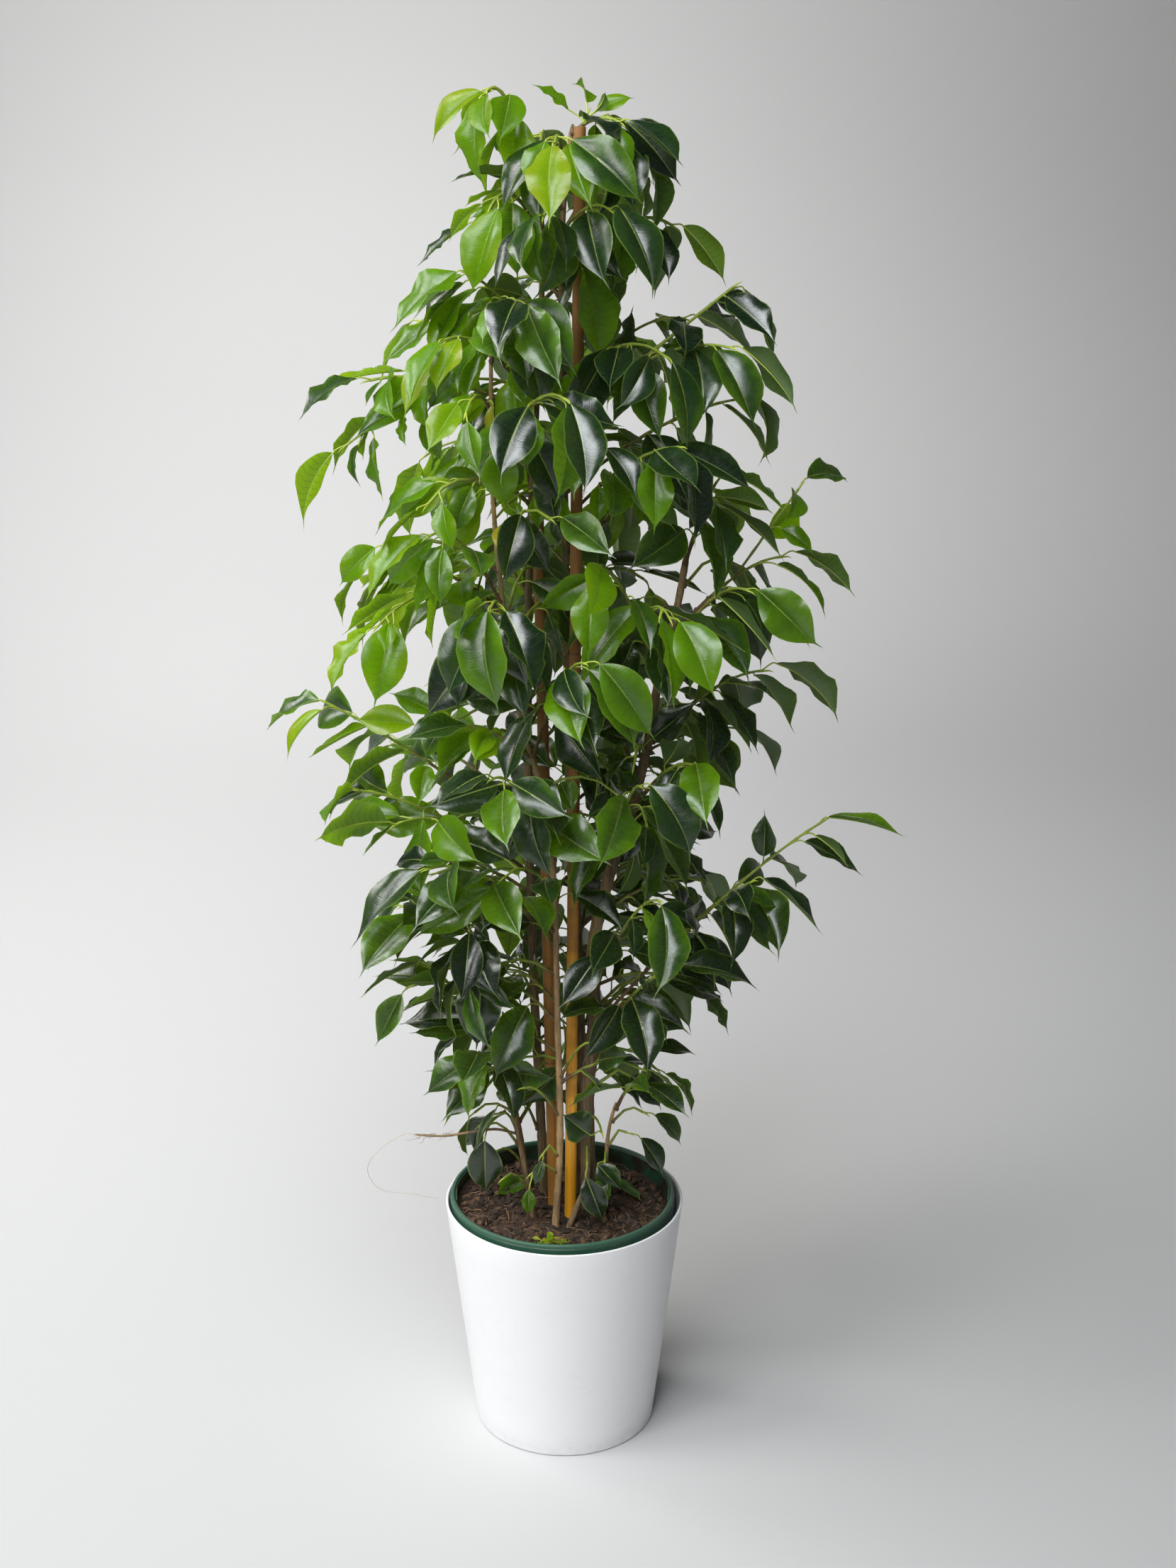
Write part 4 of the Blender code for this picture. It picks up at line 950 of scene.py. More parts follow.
def leafMesh(leaf, grow=0.0):
    # A stalk of three sides, then the blade: a thin fold, thickest at the midrib.
    half = leafForm["thickness"] / 2 + grow
    across = leaf["across"]
    stalk = (leaf["base"] - leaf["root"]).normalized()
    first = (across - across.dot(stalk) * stalk).normalized()
    second = stalk.cross(first)
    verts = []
    for angle in (math.pi, 0.0, 1.5 * math.pi):
        offset = math.cos(angle) * first - math.sin(angle) * second
        verts.append(leaf["root"] + (leafForm["stalkRootRadius"] + grow) * offset)
    for index, (share, widthShare) in enumerate(coarseStations):
        place, face = midrib(leaf, share)
        reach = leaf["width"] / 2 * widthShare + grow
        rise = reach * math.sin(leaf["fold"])
        wide = reach * math.cos(leaf["fold"])
        left = place - wide * across + rise * face
        right = place + wide * across + rise * face
        below = place - half * face
        if index in (1, 2):
            verts += [left, place + half * face, right, below]
        elif index == 0:
            stalkReach = leafForm["stalkRadius"] + grow
            verts += [place - stalkReach * across, place + stalkReach * across,
                      place - leafForm["stalkDepth"] * stalkReach * face]
        else:
            verts += [left, right, below - half * face]
    verts.append(midrib(leaf, 1.0)[0] + grow * leaf["run"])
    faces = [(0, 2, 1)]
    for a, b in ((0, 1), (1, 2), (2, 0)):
        faces += [(a, b, b + 3), (a, b + 3, a + 3)]
    # Left, top, right and bottom points at each station
    l0, r0, b0, l1, t1, r1, b1, l2, t2, r2, b2, l3, r3, b3, tip = range(3, 18)
    faces += [(l0, t1, l1), (l0, r0, t1), (r0, r1, t1)]
    faces += [(l0, l1, b1), (l0, b1, b0), (r0, b1, r1), (r0, b0, b1)]
    faces += [(l1, t1, l2), (t1, t2, l2), (t1, r1, r2), (t1, r2, t2)]
    faces += [(l1, l2, b1), (b1, l2, b2), (b1, r2, r1), (b1, b2, r2)]
    faces += [(l2, t2, l3), (t2, r3, l3), (t2, r2, r3)]
    faces += [(l2, l3, b2), (l3, b3, b2), (r2, b2, r3), (b2, b3, r3)]
    faces += [(l3, r3, tip), (l3, tip, b3), (r3, b3, tip)]
    return verts, faces


# The plant: every shoot and leaf, each clear of all that stands before it

def corners(points):
    # The low and the high corner round some points.
    return [Vector([pick(p[i] for p in points) for i in range(3)]) for pick in (min, max)]


def insideBox(mesh):
    # Whether a leaf stays within the solids' own box, with a little room.
    low, high = corners(mesh[0])
    room = leafForm["boxRoom"]
    return all(cadBox[0][i] - room <= low[i] and high[i] <= cadBox[1][i] + room for i in range(3))


def turnsBack(leaf):
    # Whether the stalk doubles back under its own blade.
    return (leaf["base"] - leaf["root"]).normalized().dot(leaf["run"]) < leafForm["leastRunOn"]


def pointAlong(route, share):
    # The point and direction at a share of a route's length.
    lengths = [(b - a).length for a, b in zip(route, route[1:])]
    rest = share * sum(lengths)
    for a, b, length in zip(route, route[1:], lengths):
        if rest <= length + 1e-9:
            return a.lerp(b, rest / length), (b - a).normalized()
        rest -= length
    return route[-1], (route[-1] - route[-2]).normalized()


def shootRoot(stem, height, tip, lift, radius):
    # The shoot's root: just clear of the stem's side, on the line from the stem's axis towards the shoot.
    axis = stemPoint(stem, height)
    toward = (shootForm["archFirst"] * (tip - axis) + lift * up).normalized()
    tree = treeOf(stemMesh(stem))
    ring, _ = tubeMesh([axis, axis + toward], [radius, radius], shootForm["sides"])
    probe = shootForm["probe"]
    reach = 0.0
    for start in ring[:shootForm["sides"]] + [axis]:
        distance = tree.ray_cast(start + probe * toward, -toward)[3]
        if distance is not None:
            reach = max(reach, probe - distance)
    return axis + (reach + shootForm["gap"]) * toward


class Plant:
    # The shoots and leaves so far, and the solids that the next ones have to stay clear of.
    def __init__(self):
        self.shoots = []
        self.leaves = []
        self.solids = []
        for name in stemTable:
            self.addSolid(stemMesh(name, leafForm["clearance"]), name)
        for name in rootTable:
            self.addSolid(rootMesh(name, leafForm["clearance"]), "root_" + name)

    def addSolid(self, mesh, owner):
        self.solids.append((*corners(mesh[0]), treeOf(mesh), owner))

    def hits(self, mesh, own=None):
        # Whether a mesh touches any solid but the one that it grows from.
        low, high = corners(mesh[0])
        tree = treeOf(mesh)
        for solidLow, solidHigh, solidTree, owner in self.solids:
            apart = any(low[i] > solidHigh[i] or high[i] < solidLow[i] for i in range(3))
            if owner != own and not apart and tree.overlap(solidTree):
                return True
        return False

    def addShoot(self, spray, stem, route, radii, leaves, length, hang, tone, lowest=leafForm["lowest"]):
        self.addSolid(tubeMesh(route, [r + leafForm["clearance"] for r in radii], shootForm["sides"]),
                      "shoot%d" % len(self.shoots))
        self.shoots.append({"spray": spray, "stem": stem, "route": route, "leaves": leaves, "length": length,
                            "hang": hang, "tone": tone, "lowest": lowest})

    def growLeaf(self, index, share, turn, last, length, tries, draw, boxed=False, hang=None):
        # The first leaf of a few tries that stands clear of all before it.
        shoot = self.shoots[index]
        hang = shoot["hang"] if hang is None else hang
        root, along = pointAlong(shoot["route"], share)
        level = along.cross(up)
        level = level.normalized() if level.length > 0.2 else sideways
        for attempt in range(tries):
            side = leafForm["endPull"] * along if last else turn * level * (-1 if attempt % 2 else 1)
            size = length * (1 - leafForm["shrink"] * attempt)
            leaf = makeLeaf(root, side, along, hang, size, shoot["tone"], draw)
            points, faces = solid = leafMesh(leaf, leafForm["clearance"])
            tooLow = min(p.z for p in points) < shoot["lowest"]
            if tooLow or turnsBack(leaf) or boxed and not insideBox(solid):
                continue
            blade = (points, faces[7:])
            if self.hits(solid, "shoot%d" % index) or self.hits(blade):
                continue
            self.addSolid(solid, "leaf")
            self.leaves.append({**leaf, "shoot": index, "share": share})
            return


def placeShoots(plant):
    for name, stem, at, tip, lift, *leafy in shootTable:
        tip = Vector(tip)
        start, end = shootForm["rootRadius"], shootForm["tipRadius"]
        if stem:
            root = shootRoot(stem, at, tip, lift, start)
        else:
            parent = next(shoot for shoot in plant.shoots if shoot["spray"] == name)
            root = pointAlong(parent["route"], at)[0]
            start, end = end, shootForm["sideTaper"] * end
        route = archRoute(root, tip, lift, shootForm["ringSpacing"])
        plant.addShoot(name, stem, route, taper(route, start, end), *leafy)


def placeLeaves(plant):
    for index, shoot in enumerate(plant.shoots):
        draw = random.Random("%s %d" % (shoot["spray"], index))
        first = leafForm["first" if shoot["stem"] else "firstAtSide"]
        last = shoot["leaves"] - 1
        for i in range(last + 1):
            share = first + (leafForm["last"] - first) * i / max(1, last)
            plant.growLeaf(index, share, 1 if i % 2 else -1, i == last, shoot["length"],
                           leafForm["tries"], draw)


extraLeaves = {
    "perLeaf": 0.9,              # further leaves for each leaf of a shoot
    "sizes": (0.50, 0.95),       # of the shoot's own leaf length
    "hangsLow": (0.15, 1.25),    # of the shoot's own hang, low in the crown
    "hangsHigh": (0.75, 1.25),
    "high": 1.00,                # height where the high part begins
    "first": 0.22,               # where along the shoot they begin, and how far they reach from there
    "over": 0.74,
    "tries": 12,
}


def placeExtraLeaves(plant, count):
    # Leaves between those of the solids' shoots, so that the crown is as full as the real one.
    for index, shoot in enumerate(plant.shoots[:count]):
        draw = random.Random("extra %s %d" % (shoot["spray"], index))
        more = round(shoot["leaves"] * extraLeaves["perLeaf"])
        hangs = extraLeaves["hangsHigh" if shoot["route"][-1].z > extraLeaves["high"] else "hangsLow"]
        for i in range(more):
            share = extraLeaves["first"] + extraLeaves["over"] * (i + draw.random()) / more
            length = shoot["length"] * draw.uniform(*extraLeaves["sizes"])
            plant.growLeaf(index, share, draw.choice((-1, 1)), False, length, extraLeaves["tries"], draw,
                           True, shoot["hang"] * draw.uniform(*hangs))


innerGrowth = {
    # stem: lowest and highest shoot, and how far apart they leave it
    "stem_right": (0.400, 1.010, 0.028),
    "stem_centre": (0.470, 1.440, 0.030),
    "stem_left": (0.450, 1.400, 0.030),
    "stem_front": (0.440, 1.220, 0.034),
    "stem_low_left": (0.400, 0.590, 0.032),
    "stem_low_back": (0.370, 0.480, 0.036),
}
innerForm = {
    "turn": 2.4,                 # radians from one shoot to the next
    "turnMore": 1.1,             # at each further try
    "turnSpread": 0.5,
    "heightSpread": 0.3,         # of the distance between two shoots
    "reach": (0.045, 0.115),
    "rise": (-0.01, 0.045),
    "lift": 0.02,
    "spacing": 0.02,
    "taper": 0.8,
    "clearance": 0.0004,
    "leaves": (3, 6),
    "leafLength": (0.055, 0.092),
    "tone": (0.08, 0.7, 0.85),   # painted light: low at the right, how much it rises from there, and the brightest
    "lastLeaf": 0.98,            # where along the shoot it grows, and how far back the others go
    "leavesOver": 0.78,
    "leafTries": 10,
    "hangLow": (0.10, 0.75),     # low in the crown the leaves lie flatter
    "hangHigh": (0.5, 1.1),
    "hangHeight": 0.9,
    "nearTop": 1.2,              # from this height up the shoots reach less far
    "reachNearTop": 0.75,
    "tries": 5,
    "openFronts": ((0.40, 0.66), (0.84, 1.04), (1.20, 1.30)),    # heights where the stems show through
}


def placeInnerShoots(plant):
    # Short leafy shoots all along the stems, which fill the heart of the crown.
    tipRadius = shootForm["tipRadius"]
    lift, apart, around = innerForm["lift"], innerForm["heightSpread"], innerForm["turnSpread"]
    least, more, most = innerForm["tone"]
    for name, (lowest, highest, spacing) in innerGrowth.items():
        draw = random.Random("inner " + name)
        count = round((highest - lowest) / spacing)
        for i in range(count):
            height = lowest + (highest - lowest) * (i + draw.uniform(-apart, apart)) / count
            axis = stemPoint(name, height)
            openFront = any(low < height < high for low, high in innerForm["openFronts"])
            for attempt in range(innerForm["tries"]):
                heading = innerForm["turn"] * i + draw.uniform(-around, around)
                heading += innerForm["turnMore"] * attempt
                if math.sin(heading) < -0.2 and openFront:
                    heading += math.pi
                reach = draw.uniform(*innerForm["reach"])
                reach *= 1 if height < innerForm["nearTop"] else innerForm["reachNearTop"]
                tip = axis + Vector((*turned(reach, heading), draw.uniform(*innerForm["rise"])))
                root = shootRoot(name, height, tip, lift, tipRadius)
                route = archRoute(root, tip, lift, innerForm["spacing"])
                radii = taper(route, tipRadius, innerForm["taper"] * tipRadius)
                wide = [r + innerForm["clearance"] for r in radii]
                if plant.hits(tubeMesh(route, wide, shootForm["sides"]), name):
                    continue
                # Painted light: brighter at the lit left and towards the top
                bright = max(0.0, -tip.x / 0.25) + max(0.0, (tip.z - 0.9) / 1.2)
                hangs = innerForm["hangLow" if height < innerForm["hangHeight"] else "hangHigh"]
                plant.addShoot("inner_" + name, name, route, radii, draw.randint(*innerForm["leaves"]),
                               draw.uniform(*innerForm["leafLength"]), draw.uniform(*hangs),
                               min(most, least + more * bright))
                break


lowTwigForm = {
    "lift": 0.012,
    "spacing": 0.012,
    "taper": (0.8, 0.55),        # from and to, as shares of a shoot's tip radius
    "bare": (0, 0.0, 0.0, 0.0),  # leaves, length, hang and tone
    "lowest": 0.290,             # no leaf of a low twig hangs below this
}
lowTwigs = (
    # Thin twigs low on the stems: stem, height and tip, and for the leafy ones leaves, length, hang, tone
    ("stem_low_left", 0.352, (-0.084, -0.046, 0.390)),
    ("stem_low_left", 0.400, (-0.098, -0.040, 0.402), 2, 0.060, 1.1, 0.05),
    ("stem_front", 0.330, (-0.034, -0.064, 0.340)),
    ("stem_front", 0.348, (-0.022, -0.064, 0.364)),
    ("stem_right", 0.335, (0.026, -0.064, 0.354)),
    ("stem_low_right", 0.326, (0.046, -0.040, 0.344)),
    ("stem_right", 0.375, (0.042, -0.072, 0.394)),
    ("stem_low_right", 0.345, (0.070, -0.030, 0.372), 1, 0.056, 1.5, 0.12),
    ("stem_low_right", 0.380, (0.088, -0.026, 0.395), 1, 0.050, 0.9, 0.20),
    ("stem_low_back", 0.340, (-0.072, -0.006, 0.384), 2, 0.056, 1.0, 0.20),
    ("stem_low_back", 0.420, (-0.082, -0.030, 0.432), 2, 0.062, 0.8, 0.25),
    ("stem_left", 0.380, (-0.070, 0.050, 0.420), 2, 0.062, 0.9, 0.25),
    ("stem_centre", 0.360, (0.036, 0.070, 0.400), 2, 0.062, 0.9, 0.25),
    ("stem_centre", 0.430, (0.060, 0.060, 0.470), 3, 0.068, 0.8, 0.25),
    ("stem_centre", 0.500, (-0.004, 0.062, 0.520), 3, 0.070, 0.9, 0.05),
    ("stem_centre", 0.570, (-0.012, 0.066, 0.600), 4, 0.072, 0.9, 0.05),
    ("stem_centre", 0.640, (-0.004, 0.062, 0.670), 4, 0.072, 0.8, 0.10),
    ("stem_left", 0.470, (0.000, 0.050, 0.470), 3, 0.070, 0.9, 0.05),
    ("stem_left", 0.545, (0.006, 0.056, 0.560), 4, 0.072, 0.9, 0.05),
    ("stem_left", 0.610, (0.002, 0.054, 0.640), 4, 0.072, 0.8, 0.10),
    ("stem_low_left", 0.300, (-0.066, -0.062, 0.332)),
    ("stem_low_left", 0.430, (-0.092, -0.066, 0.468)),
    ("stem_low_back", 0.305, (-0.074, -0.022, 0.345)),
    ("stem_front", 0.400, (-0.042, -0.078, 0.450)),
    ("stem_front", 0.445, (0.030, -0.080, 0.505)),
    ("stem_right", 0.430, (0.072, -0.060, 0.515)),
    ("stem_left", 0.330, (-0.060, 0.010, 0.410)),
)


def placeLowTwigs(plant):
    tipRadius = shootForm["tipRadius"]
    lift, spacing = lowTwigForm["lift"], lowTwigForm["spacing"]
    first, last = lowTwigForm["taper"]
    for name, height, tip, *leafy in lowTwigs:
        root = shootRoot(name, height, Vector(tip), lift, tipRadius)
        route = archRoute(root, Vector(tip), lift, spacing)
        radii = taper(route, first * tipRadius, last * tipRadius)
        if plant.hits(tubeMesh(route, radii, shootForm["sides"]), name):
            print("no room for a twig at", name, height)
        else:
            leafy = leafy or lowTwigForm["bare"]
            plant.addShoot("low_" + name, name, route, radii, *leafy, lowTwigForm["lowest"])


def placeInnerLeaves(plant, outer, lengths, hangs):
    # Leaves on every shoot from the numbered one on, spread back from its tip.
    for index, shoot in list(enumerate(plant.shoots))[outer:]:
        draw = random.Random("inner leaves %d" % index)
        last = shoot["leaves"] - 1
        for i in range(last + 1):
            share = innerForm["lastLeaf"] - innerForm["leavesOver"] * (last - i) / max(1, last)
            length = shoot["length"] * draw.uniform(*lengths)
            plant.growLeaf(index, share, 1 if i % 2 else -1, i == last, length, innerForm["leafTries"], draw,
                           True, shoot["hang"] * draw.uniform(*hangs))


# Forms: how the fine pieces are put together

plain = (0.0, 0.0, 0.0)


class Form:
    # A piece's points and faces, with the finish of each face, and the marks and flat map of each point.
    def __init__(self):
        self.points = []
        self.faces = []
        self.finishes = []
        self.marks = []
        self.flat = []

    def add(self, points, faces, finish=0, marks=plain, flat=None):
        # marks is one value for all points, or a list with one for each.
        start = len(self.points)
        self.points += points
        self.faces += [tuple(start + i for i in face) for face in faces]
        self.finishes += [finish] * len(faces)
        self.marks += marks if isinstance(marks, list) else [marks] * len(points)
        self.flat += flat or [(0.0, 0.0)] * len(points)

    def addTube(self, route, radii, sides, finish=0, marks=plain, relief=None, frames=None):
        # A round tube; marks is one value, or a list with one for each ring.
        points, faces = tubeMesh(route, radii, sides, frames, relief)
        if isinstance(marks, list):
            marks = [mark for mark in marks for _ in range(sides)]
        self.add(points, faces, finish, marks)

    def make(self, name, finishes, replaced=(), sharpAngle=50):
        data = bpy.data.meshes.new(name)
        data.from_pydata([tuple(p) for p in self.points], [], self.faces)
        data.polygons.foreach_set("material_index", self.finishes)
        marks = data.attributes.new("marks", "FLOAT_COLOR", "POINT")
        marks.data.foreach_set("color", [value for mark in self.marks for value in (*mark, 1.0)])
        blade = data.uv_layers.new(name="blade")
        loops = [loop.vertex_index for loop in data.loops]
        blade.data.foreach_set("uv", [value for point in loops for value in self.flat[point]])
        for finish in finishes:
            data.materials.append(finish)
        data.shade_smooth()
        data.set_sharp_from_angle(angle=math.radians(sharpAngle))
        data.validate()
        item = newObject(name, data)
        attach(item, "root")
        if replaced:
            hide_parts(*replaced)


def addTurned(form, profile, segments, shift=0.0):
    # A profile of (radius, height, marks) turned about the pot's axis; it closes on itself or at the axis.
    points = []
    marks = []
    rings = []
    for radius, height, mark in profile:
        count = segments if radius else 1
        rings.append([len(points) + k % count for k in range(segments)])
        angles = [2 * math.pi * k / segments for k in range(count)]
        points += [Vector((*turned(radius, angle, shift), height)) for angle in angles]
        marks += [mark] * count
    faces = []
    pairs = list(zip(rings, rings[1:])) + ([(rings[-1], rings[0])] if profile[0][0] > 0 else [])
    for a, b in pairs:
        for k in range(segments):
            n = (k + 1) % segments
            faces.append(tuple(dict.fromkeys([a[k], a[n], b[n], b[k]])))
    form.add(points, faces, 0, marks)


def roundedProfile(points, radii, steps=4):
    # An open profile of (radius, height) whose inner corners are rounded by their radii.
    made = [points[0]]
    for before, corner, after, radius in zip(points, points[1:], points[2:], radii[1:]):
        if not radius:
            made.append(corner)
            continue
        corner = Vector(corner)
        first = corner + radius * (Vector(before) - corner).normalized()
        last = corner + radius * (Vector(after) - corner).normalized()
        for i in range(steps + 1):
            t = i / steps
            made.append(tuple((1 - t) ** 2 * first + 2 * t * (1 - t) * corner + t * t * last))
    return made + [points[-1]]


# Pots

potForm = {
    "segments": 144,
    "base": 0.1035,              # the white cover pot's outer radius at its foot
    "wall": 0.0030,
    "floor": 0.006,
    "lipRound": 0.0014,
    "footWidth": 0.010,          # a low ring that it stands on
    "footHeight": 0.0015,
    "ringEvery": 0.030,          # rings up the wall keep its shading even
    "rimBand": 0.020,            # height of the nursery pot's rim
    "rimWidth": 0.0052,
    "growWall": 0.0020,
    "growFloor": 0.004,
    "growBase": 0.092,
    "growShift": -0.002,
    "drainRadius": 0.012,
    # Two catches inside the rim: half their angle, and their section as (reach inwards, drop)
    "catchAngle": 0.11,
    "catchSection": ((0.0006, -0.0016), (-0.0012, -0.0022), (-0.0014, -0.0150), (0.0006, -0.0160)),
}


def coverPot():
    _, (top, _, height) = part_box("cover_pot")
    base, wall, floor = potForm["base"], potForm["wall"], potForm["floor"]
    slope = (top - base) / height
    foot = potForm["footHeight"]
    footIn = base - potForm["footWidth"]
    outline = [
        (0, foot), (footIn - 0.004, foot), (footIn, 0), (base - 0.001, 0), (top, height),
        (top - wall, height), (base - wall + slope * floor, floor), (0, floor)]
    profile = roundedProfile(
        outline, [0, 0.001, 0.001, 0.003, potForm["lipRound"], potForm["lipRound"], 0.006, 0])
    rings = []
    for a, b in zip(profile, profile[1:]):
        count = max(1, round(abs(b[1] - a[1]) / potForm["ringEvery"]))
        rings += [(*(a[i] + (b[i] - a[i]) * k / count for i in (0, 1)), plain) for k in range(count)]
    form = Form()
    addTurned(form, rings + [(*profile[-1], plain)], potForm["segments"])
    form.make("coverPot", [whitePotMaterial()], ["cover_pot"], sharpAngle=60)


def growInnerRadius(height):
    # Inner radius of the nursery pot's wall at a height.
    low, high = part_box("grow_pot")
    bottom, top = low.z + potForm["growFloor"], high.z - potForm["rimBand"]
    base = potForm["growBase"] - potForm["growWall"]
    rim = high.x - potForm["growShift"] - 0.006
    return base + (rim - base) * (height - bottom) / (top - bottom)


def nurseryPot():
    low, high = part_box("grow_pot")
    rim = high.x - potForm["growShift"]
    top, bottom = high.z, low.z
    bandLow = top - potForm["rimBand"]
    inner = growInnerRadius(bandLow)
    base, wall, drain = potForm["growBase"], potForm["growWall"], potForm["drainRadius"]
    rimIn = rim - potForm["rimWidth"]
    outline = [
        (drain, bottom), (base, bottom), (inner + wall, bandLow - 0.004), (inner + wall, bandLow),
        (rim, bandLow), (rim, top - 0.0050), (rim - 0.0006, top - 0.0044), (rim - 0.0006, top),
        (rimIn + 0.0008, top), (rimIn, top - 0.0022), (rimIn - 0.0012, top - 0.0024), (inner, bandLow),
        (base - wall, bottom + potForm["growFloor"]), (drain, bottom + 0.0022)]
    radii = [0, 0.002, 0.0, 0.0, 0.0008, 0.0003, 0.0003, 0.0013, 0.0010, 0.0006, 0.0006, 0.003, 0.004, 0]
    form = Form()
    profile = []
    for r, z in roundedProfile(outline, radii, 3):
        worn = 1.0 if z > top - 0.0016 and r > rimIn else 0.0
        soiled = 1.0 if r < rimIn and z > bandLow - 0.02 else 0.0
        profile.append((r, z, (worn, soiled, 0.0)))
    addTurned(form, profile, potForm["segments"], potForm["growShift"])
    for side in (-1, 1):
        addCatch(form, math.pi * (0.5 - 0.5 * side) - side * 0.05, rimIn - 0.0011, top)
    form.make("nurseryPot", [greenPotMaterial()], ["grow_pot"], sharpAngle=45)


def addCatch(form, middle, radius, top):
    # A low block that follows the inside of the rim for a few degrees.
    points = []
    steps = 8
    for i in range(steps + 1):
        angle = middle + potForm["catchAngle"] * (2 * i / steps - 1)
        for reach, drop in potForm["catchSection"]:
            points.append(Vector((*turned(radius + reach, angle, potForm["growShift"]), top + drop)))
    form.add(points, tubeFaces(steps + 1, 4), 0, (0.3, 0.5, 0.0))


coverPot()
nurseryPot()
print("pots")


# Soil

soilForm = {
    "rings": 70,
    "segments": 200,
    # Height of the lumps, and how many there are in a metre
    "lumps": ((0.0034, 48.0), (0.0022, 130.0), (0.0012, 330.0), (0.0006, 800.0)),
    "leftRise": 0.008,           # the soil stands higher at the left
    "moundHeight": 0.004,        # and round the stems
    "moundRadius": 0.016,
    "skirt": 0.022,
    "gap": 0.0004,               # to the nursery pot's wall
    "crumbs": 1500,
    "crumbShapes": 14,
    "crumbSizes": (0.0016, 0.0075),
    "fibres": 230,
    "fibreLengths": (0.010, 0.045),
    "fibreSteps": 9,
    "fibreRadii": (0.00022, 0.00060),
}
soilCentre = potForm["growShift"]
soilRadius = growInnerRadius(soilTop) - soilForm["gap"]


def soilHeight(x, y):
    fromLeft = max(0.0, -(x - soilCentre) / soilRadius)
    height = soilTop + soilForm["leftRise"] * fromLeft ** 1.5
    place = Vector((x, y, 0.3))
    for size, scale in soilForm["lumps"]:
        height += size * noise.noise(place * scale)
    for _, _, _, route in stemTable.values():
        away = math.hypot(x - route[0][0], y - route[0][1])
        height += soilForm["moundHeight"] * math.exp(-(away / soilForm["moundRadius"]) ** 2)
    return height


def soilSurface():
    segments, rings = soilForm["segments"], soilForm["rings"]
    angles = [2 * math.pi * k / segments for k in range(segments)]
    skirtTop = soilTop - soilForm["skirt"]
    skirtRadius = growInnerRadius(skirtTop) - soilForm["gap"]
    places = [(soilCentre, 0)]
    for i in range(1, rings + 1):
        places += [turned(soilRadius * i / rings, angle, soilCentre) for angle in angles]
    points = [Vector((x, y, soilHeight(x, y))) for x, y in places]
    points += [Vector((*turned(skirtRadius, angle, soilCentre), skirtTop)) for angle in angles]
    faces = [(0, 1 + k, 1 + (k + 1) % segments) for k in range(segments)]
    for i in range(rings):
        faces += [face[:1] + face[:0:-1] for face in ringFaces(1 + i * segments, segments)]
    faces.append(tuple(reversed(range(len(points) - segments, len(points)))))
    form = Form()
    form.add(points, faces)
    form.make("soilSurface", [soilMaterial()], ["soil"], sharpAngle=80)


def crumbShape(draw):
    # A broken, slightly flat crumb: the hull of a few points.
    hull = bmesh.new()
    for _ in range(10):
        place = Vector((draw.gauss(0, 1), draw.gauss(0, 1), draw.gauss(0, 1))).normalized()
        hull.verts.new(place * draw.uniform(0.75, 1.0))
    bmesh.ops.convex_hull(hull, input=hull.verts)
    bmesh.ops.delete(hull, geom=[v for v in hull.verts if not v.link_faces], context="VERTS")
    hull.verts.index_update()
    points = [v.co.copy() for v in hull.verts]
    faces = [tuple(v.index for v in face.verts) for face in hull.faces]
    hull.free()
    return points, faces


def onSoil(draw, margin):
    # A random place on the soil, clear of the stems.
    while True:
        radius = (soilRadius - margin) * math.sqrt(draw.random())
        x, y = turned(radius, draw.uniform(0, 2 * math.pi), soilCentre)
        if all(math.hypot(x - p[3][0][0], y - p[3][0][1]) > p[0] + margin for p in stemTable.values()):
            return x, y


def soilCrumbs():
    draw = random.Random("crumbs")
    shapes = [crumbShape(draw) for _ in range(soilForm["crumbShapes"])]
    form = Form()
    low, high = soilForm["crumbSizes"]
    for _ in range(soilForm["crumbs"]):
        size = low + (high - low) * draw.random() ** 2.6
        x, y = onSoil(draw, size)
        scale = Matrix.Diagonal((size * draw.uniform(0.7, 1.5), size, size * draw.uniform(0.35, 0.8)))
        spin = Matrix.Rotation(draw.uniform(0, 2 * math.pi), 3, "Z")
        turn = spin @ Matrix.Rotation(draw.uniform(-0.6, 0.6), 3, "X")
        place = Vector((x, y, soilHeight(x, y) + 0.10 * size))
        points, faces = draw.choice(shapes)
        form.add([place + turn @ (scale @ p) for p in points], faces, 0, (0.0, draw.random() ** 2, 0.0))
    form.make("soilCrumbs", [crumbMaterial("barkCrumb", *soilLook["crumbs"])], sharpAngle=20)


def soilFibres():
    draw = random.Random("fibres")
    form = Form()
    steps = soilForm["fibreSteps"]
    for _ in range(soilForm["fibres"]):
        x, y = onSoil(draw, 0.004)
        heading = draw.uniform(0, 2 * math.pi)
        length = draw.uniform(*soilForm["fibreLengths"])
        rise = draw.uniform(0.0, 0.006) if draw.random() < 0.35 else 0.0
        route = []
        for i in range(steps):
            if math.hypot(x - soilCentre, y) > soilRadius - 0.002:
                break
            lift = 0.0006 + rise * math.sin(math.pi * i / (steps - 1))
            route.append(Vector((x, y, soilHeight(x, y) + lift)))
            heading += draw.uniform(-0.55, 0.55)
            x += length / steps * math.cos(heading)
            y += length / steps * math.sin(heading)
        if len(route) > 3:
            thick = draw.uniform(*soilForm["fibreRadii"])
            form.addTube(route, taper(route, thick, 0.5 * thick), 4, 0, (0.0, draw.uniform(0.2, 1.0), 0.0))
    form.make("soilFibres", [crumbMaterial("soilFibre", *soilLook["looseFibres"])])


soilSurface()
soilCrumbs()
soilFibres()
print("soil")


# Stems and canes

